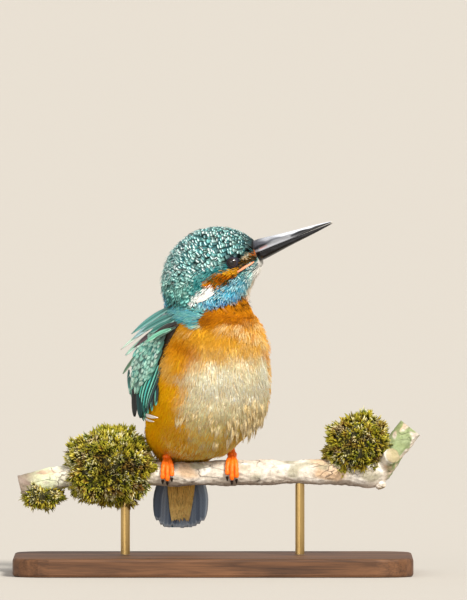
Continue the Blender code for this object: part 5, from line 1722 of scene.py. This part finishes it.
def foot_shells(side):
    """Toes over the branch, heel pad and shank, ringed by low scutes."""
    foot_x, sign = FEET_X[side], 1.0 if side == "left" else -1.0
    shells = []
    t = np.linspace(0.0, 1.0, 60)
    taper = TOE_RADIUS * (1.0 - 0.22 * t)
    scutes = 1 + 0.05 * np.sin(t * 38.0) + 0.09 * np.cos(t * 2 * TURN + 0.6)
    tip = np.sqrt(np.clip(1 - ((t - 0.95) / 0.055) ** 2, 0.05, 1))
    radii = taper * scutes * np.where(t > 0.95, tip, 1.0) * 1.04
    for sideways, wrap in TOES.values():
        x = foot_x + sideways * sign * np.minimum(1.0, 0.25 + 1.1 * t)
        shells.append(loft(tube_rings(wrap_points(x, wrap * t, taper - 0.1), radii, 20)))
    heel = wrap_points(np.array([foot_x]), np.array([0.0]), HEEL_RADIUS)[0]
    top = np.array((foot_x + TARSUS_LEAN[side], heel[1] + 1.5, TARSUS_TOP))
    s = np.linspace(-0.12, 1.0, 50)
    radii = TARSUS_RADIUS * (1 + 0.05 * np.sin(s * 40.0)) + 0.75 * hump(s, 0.0, 0.13)
    radii[0] *= 0.3
    shells.append(loft(tube_rings(heel + (top - heel) * s[:, None], radii, 22)))
    return shells


# ---- moss -------------------------------------------------------------------------------
# middle, then half sizes of each cushion
MOSS = {
    "moss_left": (-44.5, 0.5, 46.0, 20.4, 15.0, 17.4),
    "moss_right": (63.0, 0.5, 55.0, 15.2, 12.0, 14.6),
    "moss_under": (-73.5, -0.5, 33.6, 9.2, 7.0, 6.0),
}
MOSS_SHOOTS = {"moss_left": 900, "moss_right": 560, "moss_under": 190}
MOSS_LUMPS, CORE_SHARE, SHOOT_LEAVES = 0.07, 0.80, 13
CORE_ROWS, CORE_COLUMNS = 40, 56
LEAF_SHARES, LEAF_WIDTHS = np.array((0.0, 0.5, 1.0)), np.array((0.8, 1.0, 0.12))
GOLDEN_ANGLE = math.pi * (1 + 5 ** 0.5)


def moss_points(name, way):
    """A lumpy ellipsoid: the point of it in each direction of the unit sphere."""
    middle, halves = np.array(MOSS[name][:3]), np.array(MOSS[name][3:])
    lump = (np.sin(5.1 * way[..., 0] + 1.3) * np.sin(4.3 * way[..., 1] + 0.4)
            + np.sin(6.7 * way[..., 2] + 2.0 * way[..., 0]))
    return middle + way * (1.0 + MOSS_LUMPS * lump)[..., None] * halves


def make_moss_core(name, seed, material):
    """The dark heart of a cushion, drawn in under its shoots: painted shade deep in the cushion."""
    polar = np.linspace(0.02, math.pi - 0.02, CORE_ROWS)[:, None]
    turn = -np.arange(CORE_COLUMNS) * TURN / CORE_COLUMNS
    way = np.stack((np.sin(polar) * np.cos(turn), np.sin(polar) * np.sin(turn),
                    np.cos(polar) * np.ones(CORE_COLUMNS)), axis=-1)
    middle = np.array(MOSS[name][:3])
    core = middle + (moss_points(name, way) - middle) * CORE_SHARE
    points, faces = loft(core + way * 0.5 * waves(core, 4.0, seed)[..., None])
    put(f"{name}_core", points, faces, material)


def make_moss(name, seed, material, core_material):
    """A dark core of painted shade set all over with shoots, each a tuft of narrow leaves leaning outwards.

    The shoots wind down the cushion by the golden angle; the leaves open out down each shoot.
    """
    make_moss_core(name, seed, core_material)
    random = np.random.default_rng(seed)
    shoots, leaves = MOSS_SHOOTS[name], SHOOT_LEAVES
    count = shoots * leaves
    k = np.arange(shoots) + 0.5
    height = 1 - 2 * k / shoots
    angle = k * GOLDEN_ANGLE
    flat = np.sqrt(1 - height ** 2)
    root = np.stack((flat * np.cos(angle), flat * np.sin(angle), height), axis=-1)
    surface = moss_points(name, unit(root + random.normal(0, 0.03, root.shape)))
    tall = 0.95 * waves(surface, 8.5, seed + 5) + random.uniform(-0.7, 0.7, shoots)
    out = unit((surface - np.array(MOSS[name][:3])) / np.array(MOSS[name][3:]) ** 2)
    lean = unit(out + 0.3 * random.normal(0, 1, out.shape))
    head = surface + out * (1.3 * tall - 2.4)[:, None]
    tier = np.tile(np.arange(leaves) / (leaves - 1), shoots)
    direction = np.repeat(lean, leaves, axis=0)
    sideways = unit(np.cross(direction, random.normal(0, 1, direction.shape)))
    open_out = 0.25 + 1.1 * tier + random.normal(0, 0.12, count)
    fan = direction * np.cos(open_out)[:, None] + sideways * np.sin(open_out)[:, None]
    top = np.repeat(head, leaves, axis=0) - direction * (1.5 * tier)[:, None]
    long = random.uniform(1.6, 2.7, count)[:, None]
    axis = (top[:, None] + fan[:, None] * (long * LEAF_SHARES)[..., None]
            + direction[:, None] * (0.35 * long * LEAF_SHARES ** 2)[..., None])
    half = random.uniform(0.36, 0.66, count)[:, None] * LEAF_WIDTHS
    made = coat(f"{name}_shoots", material, (axis, unit(np.cross(fan, sideways))[:, None]), half,
                half * HAIR_THICKNESS, HAIR, LEAF_SHARES, moss_tint(surface, shoots, leaves, seed, random),
                pairs(0.03 + 0.94 * (np.repeat(angle, leaves) / TURN % 1.0),
                      0.03 + 0.94 * np.repeat(k, leaves) / shoots))
    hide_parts(name)


def moss_tint(surface, shoots, leaves, seed, random):
    """Olive leaves with yellow-green to straw tips, darkened at the foot in painted shade, rusty brown in
    patches.
    """
    shade = np.repeat(random.random(shoots), leaves)
    brown = np.repeat(ease(waves(surface, 9.0, seed + 6), 0.3, 0.9), leaves)
    tone = mix(mottled(shade, (134, 126, 20), (90, 100, 14), (168, 150, 32), (146, 114, 28)), (122, 78, 32),
               brown * 0.8)
    lit = np.repeat(random.random(shoots), leaves)
    tip = mottled(lit, (204, 190, 54), (154, 152, 32), (220, 208, 100), (250, 242, 190), (172, 162, 50))
    tip = mix(tip, (130, 96, 60), brown * 0.6)
    # the foot of each leaf at a fifth of its tone: painted shade deep in the cushion
    return np.stack((tone * 0.22, tone * 0.8, tip), axis=1) * varied(random, 0.15, len(shade), 1, 1)


# ---- stand ------------------------------------------------------------------------------
def wood_finish():
    """Waxed dark wood: broad rings and fine fibre, both drawn out along the board."""
    material, tree, shader = finish("waxed_walnut", 0.62, Specular_IOR_Level=0.3)
    rings = grain(tree, 1.0, 6.0, (9.0, 130.0, 130.0), Roughness=0.6, Distortion=1.2)
    fibre = grain(tree, 1.0, 3.0, (60.0, 2200.0, 2200.0))
    share = sums(tree, "MULTIPLY_ADD", fibre, 0.35, sums(tree, "MULTIPLY", rings, 0.8))
    colour = blend(tree, ramp(tree, share, 0.35, 0.8), (54, 34, 22), (116, 78, 50))
    wire(tree, colour, shader.inputs["Base Color"])
    bump(tree, shader, fibre, 0.15, 0.1)
    return material


def brass_finish():
    """Brass brushed along the rods; the brushing wavers in colour and in roughness."""
    material, tree, shader, brushing = grained(
        "brushed_brass", 0.3, (164, 132, 78), (206, 176, 118), 1.0, 3.0, (900.0, 900.0, 60.0), Metallic=1.0)
    wire(tree, sums(tree, "MULTIPLY_ADD", brushing, 0.25, 0.18), shader.inputs["Roughness"])
    return material


def dress_cad():
    """Finishes of the stand and the claws, which are shown as the solids have them."""
    claw = grained("claw_horn_fine", 0.3, (14, 12, 11), (46, 38, 32), 1500.0, 3.0, Specular_IOR_Level=0.6)[0]
    finishes = {"stand_b": wood_finish(), "stand_r": brass_finish(), "claw": claw}
    for title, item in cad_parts.items():
        for start, material in finishes.items():
            if title.startswith(start):
                for place in item.material_slots:
                    place.material = material


# ---- stage ------------------------------------------------------------------------------
AIM = (8.8, -15.0, 118.25)
FRAME_HEIGHT = 258.0
CAMERA_DISTANCE, CAMERA_ELEVATION = 8000.0, 1.15
SENSOR_HEIGHT = 24.0
FLOOR_RADIUS, FLOOR_SIDES = 150.0, 96       # the floor's radius is in metres
# name, power, angle, colour, way
LIGHTS = (
    ("key", 4.25, 12.0, (1.0, 0.96, 0.88), (-0.5, 0.85, -0.75)),
    ("fill", 1.5, 50.0, (1.0, 0.97, 0.92), (0.5, 1.0, -0.04)),
)


def make_floor():
    """A wide pale disc."""
    mesh = bpy.data.meshes.new("floor")
    turn = np.arange(FLOOR_SIDES) * TURN / FLOOR_SIDES
    rim = np.stack((np.cos(turn), np.sin(turn), np.zeros(FLOOR_SIDES)), axis=1) * FLOOR_RADIUS
    mesh.from_pydata(rim.tolist(), [], [tuple(range(FLOOR_SIDES))])
    material, tree, shader = finish("pale_floor", 0.9, Specular_IOR_Level=0.1)
    shader.inputs["Base Color"].default_value = (0.52, 0.49, 0.45, 1.0)
    mesh.materials.append(material)
    floor = bpy.data.objects.new("floor", mesh)
    bpy.context.scene.collection.objects.link(floor)


def make_lights():
    """A pale sky for fill, a soft warm key from the upper right and a wide low fill."""
    world = bpy.data.worlds.new("studio")
    world.use_nodes = True
    sky = world.node_tree.nodes["Background"]
    sky.inputs["Color"].default_value = (1.0, 0.98, 0.95, 1.0)
    sky.inputs["Strength"].default_value = 0.7
    bpy.context.scene.world = world
    for name, power, angle, colour, way in LIGHTS:
        light_data = bpy.data.lights.new(name, "SUN")
        light_data.energy, light_data.angle, light_data.color = power, math.radians(angle), colour
        item = bpy.data.objects.new(name, light_data)
        item.rotation_euler = Vector(way).to_track_quat("-Z", "Y").to_euler()
        bpy.context.scene.collection.objects.link(item)


def make_camera():
    """A long lens far off that frames the height given around the point it aims at."""
    camera = bpy.data.cameras.new("camera")
    camera.sensor_fit = "VERTICAL"
    camera.sensor_height = SENSOR_HEIGHT
    camera.lens = SENSOR_HEIGHT * CAMERA_DISTANCE / FRAME_HEIGHT
    camera.clip_start, camera.clip_end = 0.5, 400.0
    item = bpy.data.objects.new("camera", camera)
    rise = math.radians(CAMERA_ELEVATION)
    away = np.array((0.0, -math.cos(rise), math.sin(rise)))
    item.location = Vector((np.array(AIM) + away * CAMERA_DISTANCE) * MM)
    item.rotation_euler = Vector(-away).to_track_quat("-Z", "Y").to_euler()
    bpy.context.scene.collection.objects.link(item)
    bpy.context.scene.camera = item


def make_bird():
    """Skin, eyes, bill and coat, wings and tail, with the finishes of their feathers."""
    barred = feather_finish("barred_feathers", bar=(0.80, 0.91, 0.95), roughness=0.5, sheen=0.05)
    spotted = feather_finish("spotted_feathers", bar=(0.76, 1.2, 0.62))
    edged = feather_finish("edged_feathers", edge=(0.32, 0.14), shaft=0.45)
    tail = feather_finish("tail_feathers", edge=(0.30, 0.12), shaft=0.12)
    flight = feather_finish("flight_feathers", edge=(0.46, 0.64), roughness=0.36, shaft=0.3)
    mantle = feather_finish("mantle_feathers", bar=(0.80, 1.1, 0.9), roughness=0.4)
    down = tinted("loose_feathers", 0.85, Specular_IOR_Level=0.02)[0]
    # a dark sheet under the wing feathers: painted shade for the gaps between them
    shade_sheet = grained("wing_shade_sheet", 0.7, (26, 22, 20), (70, 54, 42), 600.0, 3.0)[0]
    make_skin()
    make_eyes()
    make_bill()
    make_crown(barred)
    make_nape(down)
    make_face(down)
    make_ear_tufts(down)
    make_breast(down)
    make_fringe(down)
    make_mantle(mantle, down)
    for side in WINGS:
        make_wing(side, shade_sheet, spotted, edged, flight)
    make_tail(tail, down)


def make_perch():
    """Branch and cushions of moss."""
    make_branch()
    leaf = tinted("moss_leaves", 0.7, Specular_IOR_Level=0.25)[0]
    # the cushions' dark heart: painted shade deep among the shoots
    heart, tree, shader, speck = grained("moss_shade_heart", 0.95, (22, 20, 8), (70, 66, 26), 500.0, 4.0)
    bump(tree, shader, speck, 0.8, 0.6)
    for number, name in enumerate(MOSS):
        make_moss(name, 101 + number, leaf, heart)


bpy.context.scene.view_settings.view_transform = "Standard"
make_bird()
make_perch()
dress_cad()
make_floor()
make_lights()
make_camera()
